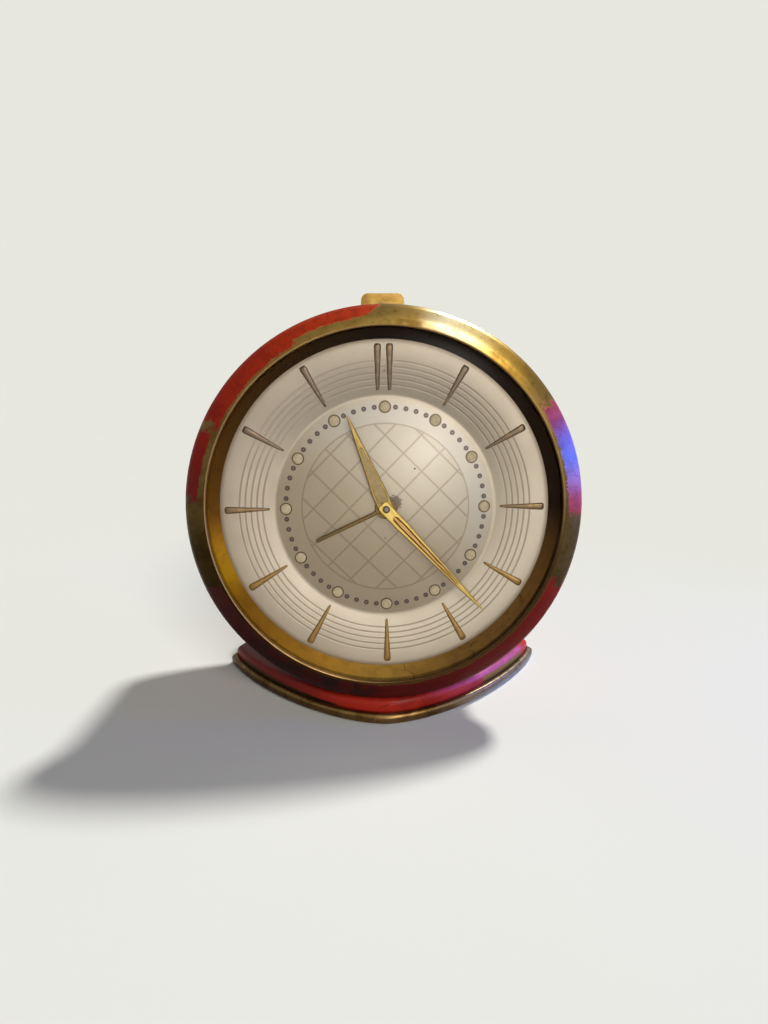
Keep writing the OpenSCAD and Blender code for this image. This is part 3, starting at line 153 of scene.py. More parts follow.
class Shade:
    """Builds one material's nodes from short calls that return sockets, with lengths in mm."""

    def __init__(self, name):
        self.mat = bpy.data.materials.new(name)
        self.mat.use_nodes = True
        self.tree = self.mat.node_tree
        self.tree.nodes.clear()
        self.out = self.add("ShaderNodeOutputMaterial")
        self.bsdf = self.add("ShaderNodeBsdfPrincipled")
        self.feed(self.bsdf.outputs[0], self.out.inputs[0])
        coord = self.add("ShaderNodeTexCoord").outputs["Object"]
        self.mm = self.vector("MULTIPLY", coord, (1 / MM, 1 / MM, 1 / MM))
        split = self.add("ShaderNodeSeparateXYZ")
        self.feed(self.mm, split.inputs[0])
        self.x, self.y, self.z = split.outputs

    def add(self, kind, **props):
        node = self.tree.nodes.new(kind)
        for key, value in props.items():
            setattr(node, key, value)
        return node

    def feed(self, value, socket):
        """Links a socket to an input, or sets the input's value."""
        if isinstance(value, bpy.types.NodeSocket):
            self.tree.links.new(value, socket)
        else:
            socket.default_value = value

    def fill(self, node, **values):
        """Feeds a node's inputs by name."""
        for key, value in values.items():
            self.feed(value, node.inputs[key.replace("_", " ")])
        return node

    def set(self, **values):
        self.fill(self.bsdf, **values)
        return self.mat

    def vector(self, op, a, b):
        node = self.add("ShaderNodeVectorMath", operation=op)
        self.feed(a, node.inputs[0])
        self.feed(b, node.inputs[1])
        return node.outputs[0]

    def math(self, op, *values):
        node = self.add("ShaderNodeMath", operation=op)
        for value, socket in zip(values, node.inputs):
            self.feed(value, socket)
        return node.outputs[0]

    def mul(self, a, b):
        return self.math("MULTIPLY", a, b)

    def plus(self, a, b):
        return self.math("ADD", a, b)

    def minus(self, a, b):
        return self.math("SUBTRACT", a, b)

    def larger(self, a, b):
        return self.math("MAXIMUM", a, b)

    def away(self, value, target):
        """Distance of a value from a target."""
        return self.math("ABSOLUTE", self.minus(value, target))

    def every(self, value, period):
        """Distance of a value from the nearest whole multiple of a period."""
        share = self.plus(self.math("DIVIDE", value, period), 0.5)
        part = self.minus(self.math("FRACT", share), 0.5)
        return self.math("ABSOLUTE", self.mul(part, period))

    def hypot(self, a, b):
        return self.math("SQRT", self.plus(self.mul(a, a), self.mul(b, b)))

    def step(self, value, low, high, start=0.0, end=1.0):
        """Smooth change from start to end while the value goes from low to high."""
        node = self.add("ShaderNodeMapRange", interpolation_type="SMOOTHSTEP")
        self.fill(node, Value=value, From_Min=low, From_Max=high, To_Min=start, To_Max=end)
        return node.outputs[0]

    def fall(self, value, low, high):
        """1 below low and 0 above high."""
        return self.step(value, low, high, 1.0, 0.0)

    def line(self, distance, half, soft=0.05):
        """1 within half a line's width of its middle."""
        return self.fall(distance, half - soft, half + soft)

    def mix(self, factor, a, b, blend="MIX"):
        node = self.add("ShaderNodeMix", data_type="RGBA", blend_type=blend)
        for value, place in ((factor, 0), (a, 6), (b, 7)):
            self.feed(value, node.inputs[place])
        return node.outputs[2]

    def over(self, base, mask, share, tone, blend="MIX"):
        """A colour with a tone laid over it where the mask is, at a share of its strength."""
        return self.mix(self.mul(mask, share), base, tone, blend)

    def noise(self, scale, detail=3.0, rough=0.55, where=None, stretch=None):
        where = where or self.mm
        if stretch:
            where = self.vector("MULTIPLY", where, stretch)
        node = self.add("ShaderNodeTexNoise")
        self.fill(node, Vector=where, Scale=scale, Detail=detail, Roughness=rough)
        return node.outputs[0]

    def ragged(self, size, scale, detail, rough):
        """Noise about zero, to make the edge of a mask uneven."""
        return self.mul(self.minus(self.noise(scale, detail, rough), 0.5), size)

    def cracks(self, scale, width):
        """Thin lines between cells, bent by noise."""
        bend = self.fill(self.add("ShaderNodeTexNoise"), Vector=self.mm, Scale=0.9)
        cells = self.add("ShaderNodeTexVoronoi", feature="DISTANCE_TO_EDGE")
        self.fill(cells, Vector=self.vector("ADD", self.mm, bend.outputs[1]), Scale=scale)
        return self.fall(cells.outputs[0], 0.0, width)

    def ramp(self, factor, stops):
        """Colour by a factor, from stops of a place and an sRGB colour."""
        node = self.add("ShaderNodeValToRGB")
        elements = node.color_ramp.elements
        while len(elements) < len(stops):
            elements.new(0.5)
        for element, (place, *colour) in zip(elements, stops):
            element.position = place
            element.color = rgba(*colour)
        self.feed(factor, node.inputs[0])
        return node.outputs[0]

    def radius(self):
        return self.hypot(self.x, self.y)

    def turn(self):
        """Angle round the dial in degrees, clockwise from twelve, -180 to 180."""
        return self.mul(self.math("ARCTAN2", self.x, self.y), 180 / math.pi)

    def clock(self):
        """Share of a turn, for a ramp: 0 at six, 0.25 at nine, 0.5 at twelve, 0.75 at three."""
        return self.plus(self.math("DIVIDE", self.turn(), 360.0), 0.5)

    def arc(self, turn, start, end, soft):
        """1 between two clockwise angles, 0 elsewhere."""
        middle, half = (start + end) / 2, abs(end - start) / 2
        away = self.math("ABSOLUTE", self.math("WRAP", self.minus(turn, middle), 180.0, -180.0))
        return self.fall(away, half - soft, half + soft)

    def bump(self, height, distance, strength):
        node = self.add("ShaderNodeBump")
        self.fill(node, Height=height, Distance=distance * MM, Strength=strength)
        self.feed(node.outputs[0], self.bsdf.inputs["Normal"])


def rgba(r, g, b):
    """Linear colour of an sRGB colour given as 0 to 255."""
    def linear(v):
        v /= 255
        return v / 12.92 if v <= 0.04045 else ((v + 0.055) / 1.055) ** 2.4
    return (linear(r), linear(g), linear(b), 1.0)


# Materials

def aged_brass(name, bright, dark, rough=0.3):
    """Brass with tarnish clouds, pits and fine scratches."""
    s = Shade(name)
    clouds = s.step(s.noise(0.16, 5, 0.62), 0.38, 0.68)
    pits = s.step(s.noise(2.6, 2), 0.66, 0.72)
    scratch = s.noise(1.2, 3, 0.6, stretch=(1.0, 9.0, 9.0))
    colour = s.mix(clouds, bright, dark)
    colour = s.over(colour, pits, 0.6, rgba(50, 34, 14))
    s.bump(s.plus(scratch, s.mul(pits, -0.6)), 0.03, 0.5)
    return s.set(Base_Color=colour, Metallic=1.0, Roughness=s.plus(s.mul(clouds, 0.22), rough))


def bezel_finish():
    """Brass bezel with what is left of its red lacquer, by the angle round the dial, with painted
    highlights, shade and reflection.
    """
    s = Shade("bezel_finish")
    r, turn = s.radius(), s.turn()
    ragged = s.ragged(14.0, 0.45, 6, 0.72)
    fine = s.ragged(2.4, 1.6, 4, 0.72)
    rag_turn = s.plus(turn, ragged)
    rag_r = s.plus(r, s.plus(s.mul(ragged, 0.11), s.mul(fine, 0.5)))

    def patch(start, end, inner, soft=0.6):
        return s.mul(s.arc(rag_turn, start, end, soft), s.step(rag_r, inner - 0.1, inner + 0.1))

    # The patch at the top thins out towards its end
    taper = s.mul(s.step(turn, -8.0, 0.0), 2.2)
    red = s.mul(s.arc(rag_turn, -32, -2, 0.6), s.step(s.minus(rag_r, taper), 40.0, 40.2))
    for start, end, inner in ((-63, -28, 39.0), (-86, -66, 39.7), (57, 91, 39.1)):
        red = s.larger(red, patch(start, end, inner))
    red = s.larger(red, patch(114, 246, 38.95, 1.0))
    red = s.mul(red, s.step(s.z, -1.2, 0.6))
    red = s.mul(red, s.step(s.noise(1.1, 4, 0.65), 0.26, 0.30))

    place = s.clock()
    # The brass has a painted highlight at about one o'clock and painted shade towards the lower
    # left
    worn = s.ramp(place, [
        (0.00, 96, 70, 28), (0.08, 56, 38, 12), (0.17, 38, 24, 8), (0.22, 54, 40, 18),
        (0.28, 94, 74, 42), (0.34, 104, 82, 48), (0.44, 126, 100, 52), (0.50, 124, 100, 52),
        (0.525, 150, 122, 66), (0.55, 220, 206, 170), (0.575, 212, 188, 128),
        (0.60, 180, 144, 68), (0.62, 150, 118, 50), (0.64, 124, 98, 50), (0.67, 130, 104, 60),
        (0.76, 92, 76, 50), (0.84, 72, 54, 28), (0.92, 78, 54, 22), (1.00, 96, 70, 28)])
    clouds = s.step(s.noise(0.22, 5, 0.65), 0.42, 0.66)
    worn = s.over(worn, clouds, 0.7, rgba(190, 182, 160), "MULTIPLY")
    olive = s.step(s.noise(0.6, 4, 0.7), 0.56, 0.66)
    worn = s.over(worn, olive, 0.5, rgba(176, 172, 130), "MULTIPLY")
    spots = s.step(s.noise(2.1, 2), 0.68, 0.72)
    worn = s.over(worn, spots, 0.7, rgba(150, 130, 96), "MULTIPLY")
    # Painted shade on the inner slope from twelve to near two o'clock dims the highlight there
    highlight_dimming = s.mul(s.fall(r, 39.3, 39.9), s.arc(turn, 2, 50, 8.0))
    worn = s.over(worn, highlight_dimming, 0.9, rgba(206, 196, 176), "MULTIPLY")
    # A painted highlight runs round the edge of the opening, fainter at the lower right
    edge = s.mul(s.fall(r, 38.36, 38.50), s.step(s.z, 4.9, 5.1))
    seamed = s.arc(turn, 98, 186, 14.0)
    edge = s.mul(edge, s.minus(0.55, s.mul(seamed, 0.5)))
    worn = s.mix(edge, worn, rgba(186, 148, 98))

    # The lacquer has painted shade, dark towards the lower left, and a painted violet-blue
    # reflection between two and three o'clock
    lacquer_and_painted_light = s.ramp(place, [
        (0.00, 74, 9, 5), (0.05, 48, 7, 4), (0.12, 40, 6, 3), (0.18, 50, 8, 4),
        (0.25, 88, 17, 11), (0.30, 114, 20, 13), (0.38, 150, 38, 17), (0.45, 172, 50, 19),
        (0.50, 184, 60, 26), (0.65, 184, 64, 56), (0.672, 160, 76, 120), (0.69, 116, 108, 212),
        (0.708, 112, 128, 240), (0.724, 156, 122, 204), (0.742, 168, 74, 110),
        (0.76, 150, 52, 40), (0.80, 128, 22, 12), (0.84, 104, 15, 8), (0.89, 88, 11, 6),
        (0.95, 74, 9, 5)])
    grime = s.step(s.noise(0.35, 4, 0.6), 0.45, 0.62)
    lacquer_and_painted_light = s.over(lacquer_and_painted_light, grime, 0.25, rgba(70, 14, 9))
    black = s.mul(s.arc(turn, 184, 224, 8.0), s.step(s.noise(0.3, 4, 0.6), 0.49, 0.58))
    lacquer_and_painted_light = s.over(lacquer_and_painted_light, black, 0.85, rgba(26, 12, 8))
    split = s.mul(s.cracks(0.3, 0.02), s.step(s.noise(0.4, 2), 0.5, 0.56))
    lacquer_and_painted_light = s.over(lacquer_and_painted_light, split, 0.7, rgba(30, 10, 12))

    colour = s.mix(red, worn, lacquer_and_painted_light)
    # At the lower right a dull strip and a dark seam run along the opening
    strip = s.mul(s.fall(s.plus(r, s.mul(fine, 0.2)), 38.8, 39.0), seamed)
    colour = s.over(colour, strip, 0.8, rgba(84, 60, 34))
    seam = s.away(s.plus(r, s.mul(fine, 0.12)), 38.5)
    seam = s.mul(s.fall(seam, 0.07, 0.16), seamed)
    colour = s.over(colour, seam, 0.85, rgba(34, 22, 10))
    s.bump(s.plus(red, s.mul(s.noise(0.9, 4), 0.5)), 0.06, 0.5)
    shine = s.plus(s.mul(clouds, 0.14), 0.30)
    return s.set(Base_Color=colour, Metallic=s.minus(1.0, red), Specular_IOR_Level=0.1,
                 Roughness=s.plus(shine, s.mul(red, 0.08)))


def reflector_finish():
    """Polished brass cone with tarnish clouds, and painted reflections that make it dark over its
    upper and right half and gold at the lower left.
    """
    s = Shade("reflector_finish")
    # Painted reflections by the angle round the dial: gold at the lower left and the bottom, near
    # black over the top and the right
    tone = s.ramp(s.clock(), [
        (0.00, 206, 164, 76), (0.06, 210, 160, 58), (0.12, 176, 126, 34), (0.16, 156, 110, 16),
        (0.19, 204, 152, 14), (0.215, 206, 150, 18), (0.24, 150, 100, 16), (0.27, 112, 72, 10),
        (0.33, 78, 49, 8), (0.42, 54, 33, 7), (0.48, 31, 18, 6), (0.55, 24, 13, 4),
        (0.65, 36, 20, 6), (0.75, 44, 26, 9), (0.775, 94, 64, 30), (0.82, 132, 96, 46),
        (0.88, 146, 110, 62), (0.93, 156, 118, 62), (1.00, 206, 164, 76)])
    clouds = s.step(s.noise(0.5, 4, 0.6), 0.4, 0.7)
    tone = s.over(tone, clouds, 0.22, rgba(50, 32, 12))
    cracks = s.mul(s.cracks(0.13, 0.012), s.step(s.noise(0.2, 2), 0.5, 0.6))
    tone = s.mix(cracks, tone, rgba(44, 24, 8))
    shiny = s.mul(s.arc(s.turn(), 105, 285, 20.0), 0.6)
    return s.set(Base_Color=tone, Metallic=shiny, Roughness=0.38, Specular_IOR_Level=0.04)


def lacquer(name, tone, deep):
    """Red lacquer with cracks, grime and worn places that show brass."""
    s = Shade(name)
    grime = s.step(s.noise(0.12, 5, 0.6), 0.42, 0.66)
    colour = s.mix(s.mul(grime, 0.7), tone, deep)
    cracks = s.mul(s.cracks(0.09, 0.010), s.step(s.noise(0.06, 2), 0.5, 0.6))
    colour = s.over(colour, cracks, 0.8, rgba(60, 8, 6))
    bare = s.step(s.noise(0.2, 6, 0.72), 0.69, 0.705)
    colour = s.mix(bare, colour, rgba(120, 92, 52))
    height = s.minus(s.noise(1.4, 3), s.plus(s.mul(cracks, 1.2), bare))
    s.bump(height, 0.05, 0.5)
    return s.set(Base_Color=colour, Metallic=bare, Coat_Weight=0.5, Coat_Roughness=0.1,
                 Roughness=s.plus(0.3, s.mul(grime, 0.15)))


def shell_finish():
    """Red lacquer of the foot: darker at the left with painted shade, worn to brass low at the
    right end.
    """
    s = Shade("shell_finish")
    along = s.plus(s.x, s.ragged(5.0, 0.5, 5, 0.7))
    # Painted shade darkens the lacquer towards the left
    tone = s.mix(s.step(along, -26.0, -6.0), rgba(126, 30, 24), rgba(174, 42, 28))
    grime = s.step(s.noise(0.1, 5, 0.6), 0.46, 0.66)
    colour = s.mix(s.mul(grime, 0.5), tone, rgba(96, 18, 14))
    cracks = s.mul(s.cracks(0.11, 0.012), s.step(s.noise(0.09, 2), 0.45, 0.55))
    colour = s.over(colour, cracks, 0.85, rgba(50, 8, 6))
    right_end = s.mul(s.step(along, 23.5, 24.1), s.fall(s.z, 4.4, 4.7))
    # At the left the bare strip tapers towards the middle
    height = s.minus(2.35, s.mul(along, 0.05))
    left_end = s.mul(s.fall(along, -14.0, -10.0), s.fall(s.minus(s.z, height), -0.15, 0.15))
    bare = s.mul(s.larger(right_end, left_end), s.fall(s.y, -5.0, -4.0))
    chips = s.step(s.noise(0.24, 6, 0.72), 0.70, 0.715)
    bare = s.larger(bare, chips)
    # Painted shade darkens the bare brass towards the left too
    brass = s.mix(s.step(s.x, -20.0, 20.0), rgba(92, 68, 44), rgba(132, 106, 72))
    colour = s.mix(bare, colour, brass)
    # Painted violet reflection along the shoulder at the right end, over a painted purplish tint
    # of the lacquer there
    tint = s.mul(s.step(s.x, 8.0, 22.0), s.minus(0.4, s.mul(bare, 0.4)))
    tint = s.mul(tint, s.fall(s.y, -6.0, 0.0))
    colour = s.mix(tint, colour, rgba(136, 52, 92))
    sheen = s.mul(s.step(s.x, 6.0, 25.0), s.fall(s.y, -5.0, -2.0))
    band = s.away(s.z, SHELL_TOP - 0.35)
    sheen = s.mul(sheen, s.fall(band, 0.10, 0.80))
    sheen = s.mul(sheen, s.step(s.noise(0.5, 4, 0.65), 0.34, 0.60, 0.40, 0.60))
    colour = s.mix(sheen, colour, rgba(182, 104, 180))
    s.bump(s.minus(s.noise(1.1, 3), s.plus(cracks, bare)), 0.05, 0.5)
    return s.set(Base_Color=colour, Metallic=s.mul(bare, 0.9), Roughness=0.34,
                 Specular_IOR_Level=0.15)


def rim_finish():
    """Brown brass rim, with painted shade darkening its left end and a painted bluish reflection
    low down at the right end.
    """
    s = Shade("rim_finish")
    # Painted shade darkens the left end
    tone = s.ramp(s.step(s.x, -41.0, 41.0), [
        (0.00, 84, 66, 42), (0.22, 104, 80, 46), (0.40, 124, 96, 56), (0.52, 136, 107, 66),
        (0.66, 126, 98, 58), (0.84, 120, 104, 84), (1.00, 126, 116, 102)])
    clouds = s.step(s.noise(0.2, 5, 0.65), 0.42, 0.66)
    tone = s.over(tone, clouds, 0.8, rgba(176, 160, 136), "MULTIPLY")
    bright = s.step(s.noise(0.9, 4, 0.7), 0.62, 0.68)
    tone = s.over(tone, bright, 0.35, rgba(196, 158, 96))
    # Painted bluish reflection low down at the right end
    blue = s.mul(s.step(s.x, 14.0, 32.0), s.fall(s.z, 1.0, 1.7))
    tone = s.over(tone, blue, 0.7, rgba(112, 132, 186))
    s.bump(s.noise(1.3, 4), 0.04, 0.5)
    return s.set(Base_Color=tone, Metallic=1.0, Roughness=0.36)


def dial_paper(s, r):
    """Satin silver of the dome and the hour ring, with painted shade and painted highlights."""
    paper = s.mix(s.step(s.noise(0.09, 4, 0.6), 0.35, 0.7),
                  rgba(178, 166, 152), rgba(170, 158, 144))
    # Painted shade makes the dome warm and dark towards the lower left, and a painted highlight
    # makes it pale by the valley at the upper right
    slant = s.plus(s.mul(s.x, 0.6), s.mul(s.y, 0.8))
    dome_shade = s.mul(s.fall(r, VALLEY_R - 0.5, VALLEY_R + 0.1), s.fall(slant, -20.0, 14.0))
    paper = s.over(paper, dome_shade, 0.7, rgba(150, 135, 114))
    dome_highlight = s.mul(s.fall(r, VALLEY_R - 2.0, VALLEY_R - 0.2), s.step(slant, -4.0, 14.0))
    paper = s.over(paper, dome_highlight, 0.8, rgba(174, 168, 162))
    disc = s.fall(r, LATTICE_R - 0.3, LATTICE_R + 0.1)
    paper = s.over(paper, disc, 0.25, rgba(166, 152, 130))
    # Painted shade darkens the hour ring beside the valley at the top, and a painted highlight
    # brightens it at the lower right
    ring_shade = s.mul(s.step(r, VALLEY_R - 0.1, VALLEY_R + 0.3),
                 s.fall(r, VALLEY_R + 5.0, DIAL_R + 1.5))
    ring_shade = s.mul(ring_shade, s.step(s.y, 0.0, 26.0))
    paper = s.over(paper, ring_shade, 0.65, rgba(138, 128, 118))
    bright = s.step(s.minus(s.mul(s.x, 0.7), s.mul(s.y, 0.75)), 12.0, 30.0)
    bright = s.mul(bright, s.step(r, VALLEY_R - 0.1, VALLEY_R + 1.0))
    return s.over(paper, bright, 0.65, rgba(196, 184, 170))


def dial_lines(s, r, turn, paper):
    """The circles of the hour ring, as a mask, and the colour with them and the lattice."""
    first, last, pitch = 27.35, 32.35, 1.25
    ring_r = s.hypot(s.x, s.plus(s.y, 0.4))
    within = s.mul(s.step(ring_r, first - 0.5, first - 0.4),
                   s.fall(ring_r, last + 0.4, last + 0.5))
    circles = s.mul(s.line(s.every(s.minus(ring_r, first), pitch), 0.16, 0.08), within)
    faint = s.step(s.arc(turn, -66, 24, 20.0), 0.0, 1.0, 0.55, 0.08)
    colour = s.mix(s.mul(circles, faint), paper, rgba(104, 90, 72))
    slants = [s.mul(v, math.sqrt(0.5)) for v in (s.plus(s.x, s.y), s.minus(s.x, s.y))]
    lattice = s.larger(*(s.line(s.every(v, LATTICE_PITCH), 0.19, 0.14) for v in slants))
    lattice = s.mul(lattice, s.fall(r, LATTICE_R - 0.1, LATTICE_R))
    lattice = s.larger(lattice, s.line(s.away(r, LATTICE_R), 0.16, 0.08))
    return circles, s.over(colour, lattice, 0.52, rgba(118, 104, 86))


def dial_spots(s, r, turn, colour):
    """Dots round the ring of spots, and an outline round each luminous spot."""
    def distance(step):
        """Distance from the nearest place on the ring, one every so many degrees."""
        along = s.mul(s.mul(s.every(turn, step), math.pi / 180), r)
        return s.hypot(along, s.minus(r, PLOT_RING))

    plot, dot = distance(30.0), distance(6.0)
    beside = s.step(plot, 1.5, 1.6)
    colour = s.over(colour, s.mul(s.line(dot, 0.56, 0.08), beside), 0.92, rgba(74, 60, 64))
    colour = s.over(colour, s.mul(s.line(dot, 0.19, 0.06), beside), 0.6, rgba(136, 124, 118))
    return s.over(colour, s.line(plot, PLOT_R + 0.24, 0.07), 0.95, rgba(84, 66, 42))


def dial_stain_and_dark_edge(s, r, colour):
    """The stain at the hub, three specks and a darker band along the edge."""
    stain = s.plus(s.hypot(s.minus(s.x, 1.8), s.minus(s.y, 1.1)), s.ragged(4.4, 1.9, 5, 0.8))
    colour = s.mix(s.step(stain, 1.5, 1.9, 0.85, 0.0), colour, rgba(92, 78, 74))
    for x, y, size in ((-0.2, -6.8, 0.14), (6.5, 8.7, 0.22), (-0.1, 30.0, 0.14)):
        speck = s.hypot(s.minus(s.x, x), s.minus(s.y, y))
        colour = s.mix(s.line(speck, size), colour, rgba(60, 48, 42))
    # Darker towards the edge
    edge = s.step(s.plus(r, s.mul(s.noise(0.8, 3), 0.4)), 35.6, 36.9)
    return s.over(colour, edge, 0.7, rgba(120, 104, 84))


def dial_finish():
    """Satin silvered dial with its printed circles, lattice, dots, stain, specks and darker edge,
    and painted shade and highlights.
    """
    s = Shade("dial_finish")
    r, turn = s.radius(), s.turn()
    circles, colour = dial_lines(s, r, turn, dial_paper(s, r))
    colour = dial_stain_and_dark_edge(s, r, dial_spots(s, r, turn, colour))
    s.bump(s.minus(s.mul(s.noise(1.0, 2, 0.5), 0.15), circles), 0.05, 0.5)
    return s.set(Base_Color=colour, Metallic=0.62, Roughness=0.38)


def embossed_finish():
    """Taupe gilt of the hour markers, brighter brass where the coat has worn."""
    s = Shade("embossed_finish")
    worn = s.step(s.noise(0.7, 4, 0.65), 0.50, 0.66)
    # The lower markers are lighter and more golden: a painted highlight
    low = s.fall(s.y, -18.0, 12.0)
    colour = s.mix(low, rgba(118, 101, 86), rgba(142, 112, 64))
    colour = s.over(colour, worn, 0.5, rgba(166, 136, 90))
    s.bump(s.noise(2.0, 3), 0.03, 0.4)
    return s.set(Base_Color=colour, Metallic=0.75, Roughness=0.42)


def gilt_finish(name, tone, deep, turn):
    """Gilt hand at an angle round the dial, with fine streaks along it."""
    s = Shade(name)
    c, v = math.cos(math.radians(turn)), math.sin(math.radians(turn))
    across = s.minus(s.mul(s.x, c), s.mul(s.y, v))
    along = s.plus(s.mul(s.x, v), s.mul(s.y, c))
    where = s.add("ShaderNodeCombineXYZ")
    s.feed(s.mul(across, 5.0), where.inputs[0])
    s.feed(s.mul(along, 0.3), where.inputs[1])
    streak = s.noise(0.8, 3, 0.6, where=where.outputs[0])
    colour = s.mix(s.step(streak, 0.40, 0.62), tone, deep)
    s.bump(s.noise(2.2, 3), 0.02, 0.3)
    return s.set(Base_Color=colour, Metallic=1.0, Roughness=0.32)


def paste_finish(name, tone, deep):
    """Aged luminous paste."""
    s = Shade(name)
    colour = s.mix(s.step(s.noise(1.4, 4, 0.7), 0.4, 0.68), tone, deep)
    s.bump(s.noise(3.0, 3), 0.04, 0.6)
    return s.set(Base_Color=colour, Roughness=0.75)


def steel_finish(name, tone, rough=0.34):
    s = Shade(name)
    grain = s.noise(1.6, 4, 0.6, stretch=(1.0, 6.0, 1.0))
    dark = tuple(c * 0.55 for c in tone[:3]) + (1.0,)
    colour = s.mix(s.step(grain, 0.4, 0.7), tone, dark)
    s.bump(grain, 0.01, 0.4)
    return s.set(Base_Color=colour, Metallic=1.0, Roughness=rough)


def felt_finish():
    s = Shade("felt_finish")
    fuzz = s.noise(3.0, 5, 0.8)
    colour = s.mix(fuzz, rgba(38, 44, 38), rgba(22, 26, 22))
    s.bump(fuzz, 0.15, 0.8)
    return s.set(Base_Color=colour, Roughness=0.95)


def glass_finish():
    """Clear crystal that lets straight light through and keeps a soft reflection."""
    s = Shade("glass_finish")
    clear = s.add("ShaderNodeBsdfTransparent")
    tint = s.mix(s.noise(0.05, 2), (0.985, 0.98, 0.965, 1), (0.965, 0.955, 0.93, 1))
    s.feed(tint, clear.inputs[0])
    gloss = s.add("ShaderNodeBsdfGlossy")
    smear = s.step(s.noise(0.12, 4, 0.6), 0.4, 0.7)
    s.fill(gloss, Roughness=s.plus(s.mul(smear, 0.04), 0.18))
    fresnel = s.fill(s.add("ShaderNodeFresnel"), IOR=1.45)
    mix = s.add("ShaderNodeMixShader")
    share = s.mul(fresnel.outputs[0], 0.08)
    for value, socket in zip((share, clear.outputs[0], gloss.outputs[0]), mix.inputs):
        s.feed(value, socket)
    s.feed(mix.outputs[0], s.out.inputs[0])
    s.tree.nodes.remove(s.bsdf)
    return s.mat


def floor_finish():
    s = Shade("floor_finish")
    grain = s.noise(0.02, 3)
    colour = s.mix(grain, (0.80, 0.80, 0.735, 1), (0.81, 0.81, 0.745, 1))
    return s.set(Base_Color=colour, Roughness=1.0, Specular_IOR_Level=0.0)


# Mesh helpers

def declare(obj, place, body, replaces):
    """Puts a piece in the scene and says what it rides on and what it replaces."""
    bpy.context.scene.collection.objects.link(obj)
    obj.matrix_world = place
    bpy.context.view_layer.update()
    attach(obj, body)
    if replaces:
        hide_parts(*replaces)
    return obj


def make(name, points, faces, body, replaces, materials, place=CASE, picks=(), level=False):
    """A piece from points in mm.

    picks gives the faces' materials, and level gives the mesh the world's axes.
    """
    mesh = bpy.data.meshes.new(name)
    mesh.from_pydata([tuple(c * MM for c in p) for p in points], [], faces)
    mesh.validate()
    for material in materials:
        mesh.materials.append(material)
    for polygon in mesh.polygons:
        polygon.use_smooth = True
    for polygon, pick in zip(mesh.polygons, picks):
        polygon.material_index = pick
    if level:
        mesh.transform(place)
        place = Matrix.Identity(4)
    return declare(bpy.data.objects.new(name, mesh), place, body, replaces)


def lathe(name, profile, body, replaces, material, segments=AROUND, level=False):
    """Turned piece: a closed profile of (radius, z) round the dial's axis."""
    points, faces = [], []
    n = len(profile)
    for k in range(segments):
        a = 2 * math.pi * k / segments
        points += [(r * math.cos(a), r * math.sin(a), z) for r, z in profile]
        m = (k + 1) % segments
        for i in range(n):
            j = (i + 1) % n
            faces.append((k * n + i, m * n + i, m * n + j, k * n + j))
    obj = make(name, points, faces, body, replaces, [material], level=level)
    sharpen(obj, CREASE)
    return obj


def sharpen(obj, angle):
    """Marks edges sharper than an angle, so that only soft ones are shaded smooth."""
    obj.data.set_sharp_from_angle(angle=math.radians(angle))


def grid_faces(rows, columns, start=0, closed=False):
    """Quads of a grid of points, row by row. Closed: each row runs round to its start."""
    faces = []
    for i in range(rows - 1):
        low = start + i * columns
        high = low + columns
        for j in range(columns if closed else columns - 1):
            k = (j + 1) % columns
            faces.append((low + j, low + k, high + k, high + j))
    return faces


def arc_points(cx, cz, radius, start, end, count):
    """Points of an arc between two angles in degrees."""
    angles = [math.radians(start + (end - start) * i / count) for i in range(count + 1)]
    return [(cx + radius * math.cos(a), cz + radius * math.sin(a)) for a in angles]


# Case pieces

def build_bezel(material):
    lip_round, nose_round, swell = 0.3, 1.0, 0.22
    lip = arc_points(LIP_R + lip_round, LIP_Z - lip_round, lip_round, 180, 90, 5)
    slope = []
    for i in range(1, 15):
        t = i / 14
        slope.append((LIP_R + lip_round + (BEZEL_R - nose_round - LIP_R) * t,
                      LIP_Z - (LIP_Z - EDGE_Z - 0.4) * t + swell * math.sin(math.pi * t)))
    nose = arc_points(BEZEL_R - nose_round, EDGE_Z - 0.85, nose_round, 55, 0, 7)
    flank = []
    for i in range(1, 19):
        a = math.radians(5 * i)
        flank.append((BEZEL_R - (BEZEL_R - DRUM_R - 1.6) * (1 - math.cos(a)),
                      EDGE_Z - 1.4 - (EDGE_Z + 0.4) * math.sin(a)))
    inside = DRUM_R + 0.02
    tail = [(SKIRT_R, SKIRT_Z + 2.6), (SKIRT_R, SKIRT_Z + 0.2), (SKIRT_R - 0.2, SKIRT_Z),
            (inside, SKIRT_Z), (inside, DRUM_FRONT), (CAVITY_R, DRUM_FRONT),
            (CAVITY_R, LIP_UNDER), (LIP_R, LIP_UNDER)]
    return lathe("bezel_shell", lip + slope + nose + flank + tail, "case", ["bezel"], material,
                 segments=360)


def crystal_z(r, base):
    """Height of the crystal's domed face over its flat border."""
    return base + (CRYSTAL_DOME * (1 - (r / LIP_R) ** 2) if r < LIP_R else 0)


def build_crystal(material):
    steps, hole = 24, 0.02
    front = [CRYSTAL_R * (1 - i / steps) for i in range(steps)] + [hole]
    back = [max(CRYSTAL_R * i / steps, hole) for i in range(steps + 1)]
    profile = [(r, crystal_z(r, LIP_UNDER - 0.02)) for r in front]
    profile += [(r, crystal_z(r, LIP_UNDER - CRYSTAL_T)) for r in back]
    return lathe("crystal_glass", profile, "case", ["crystal"], material,
                 segments=192, level=True)


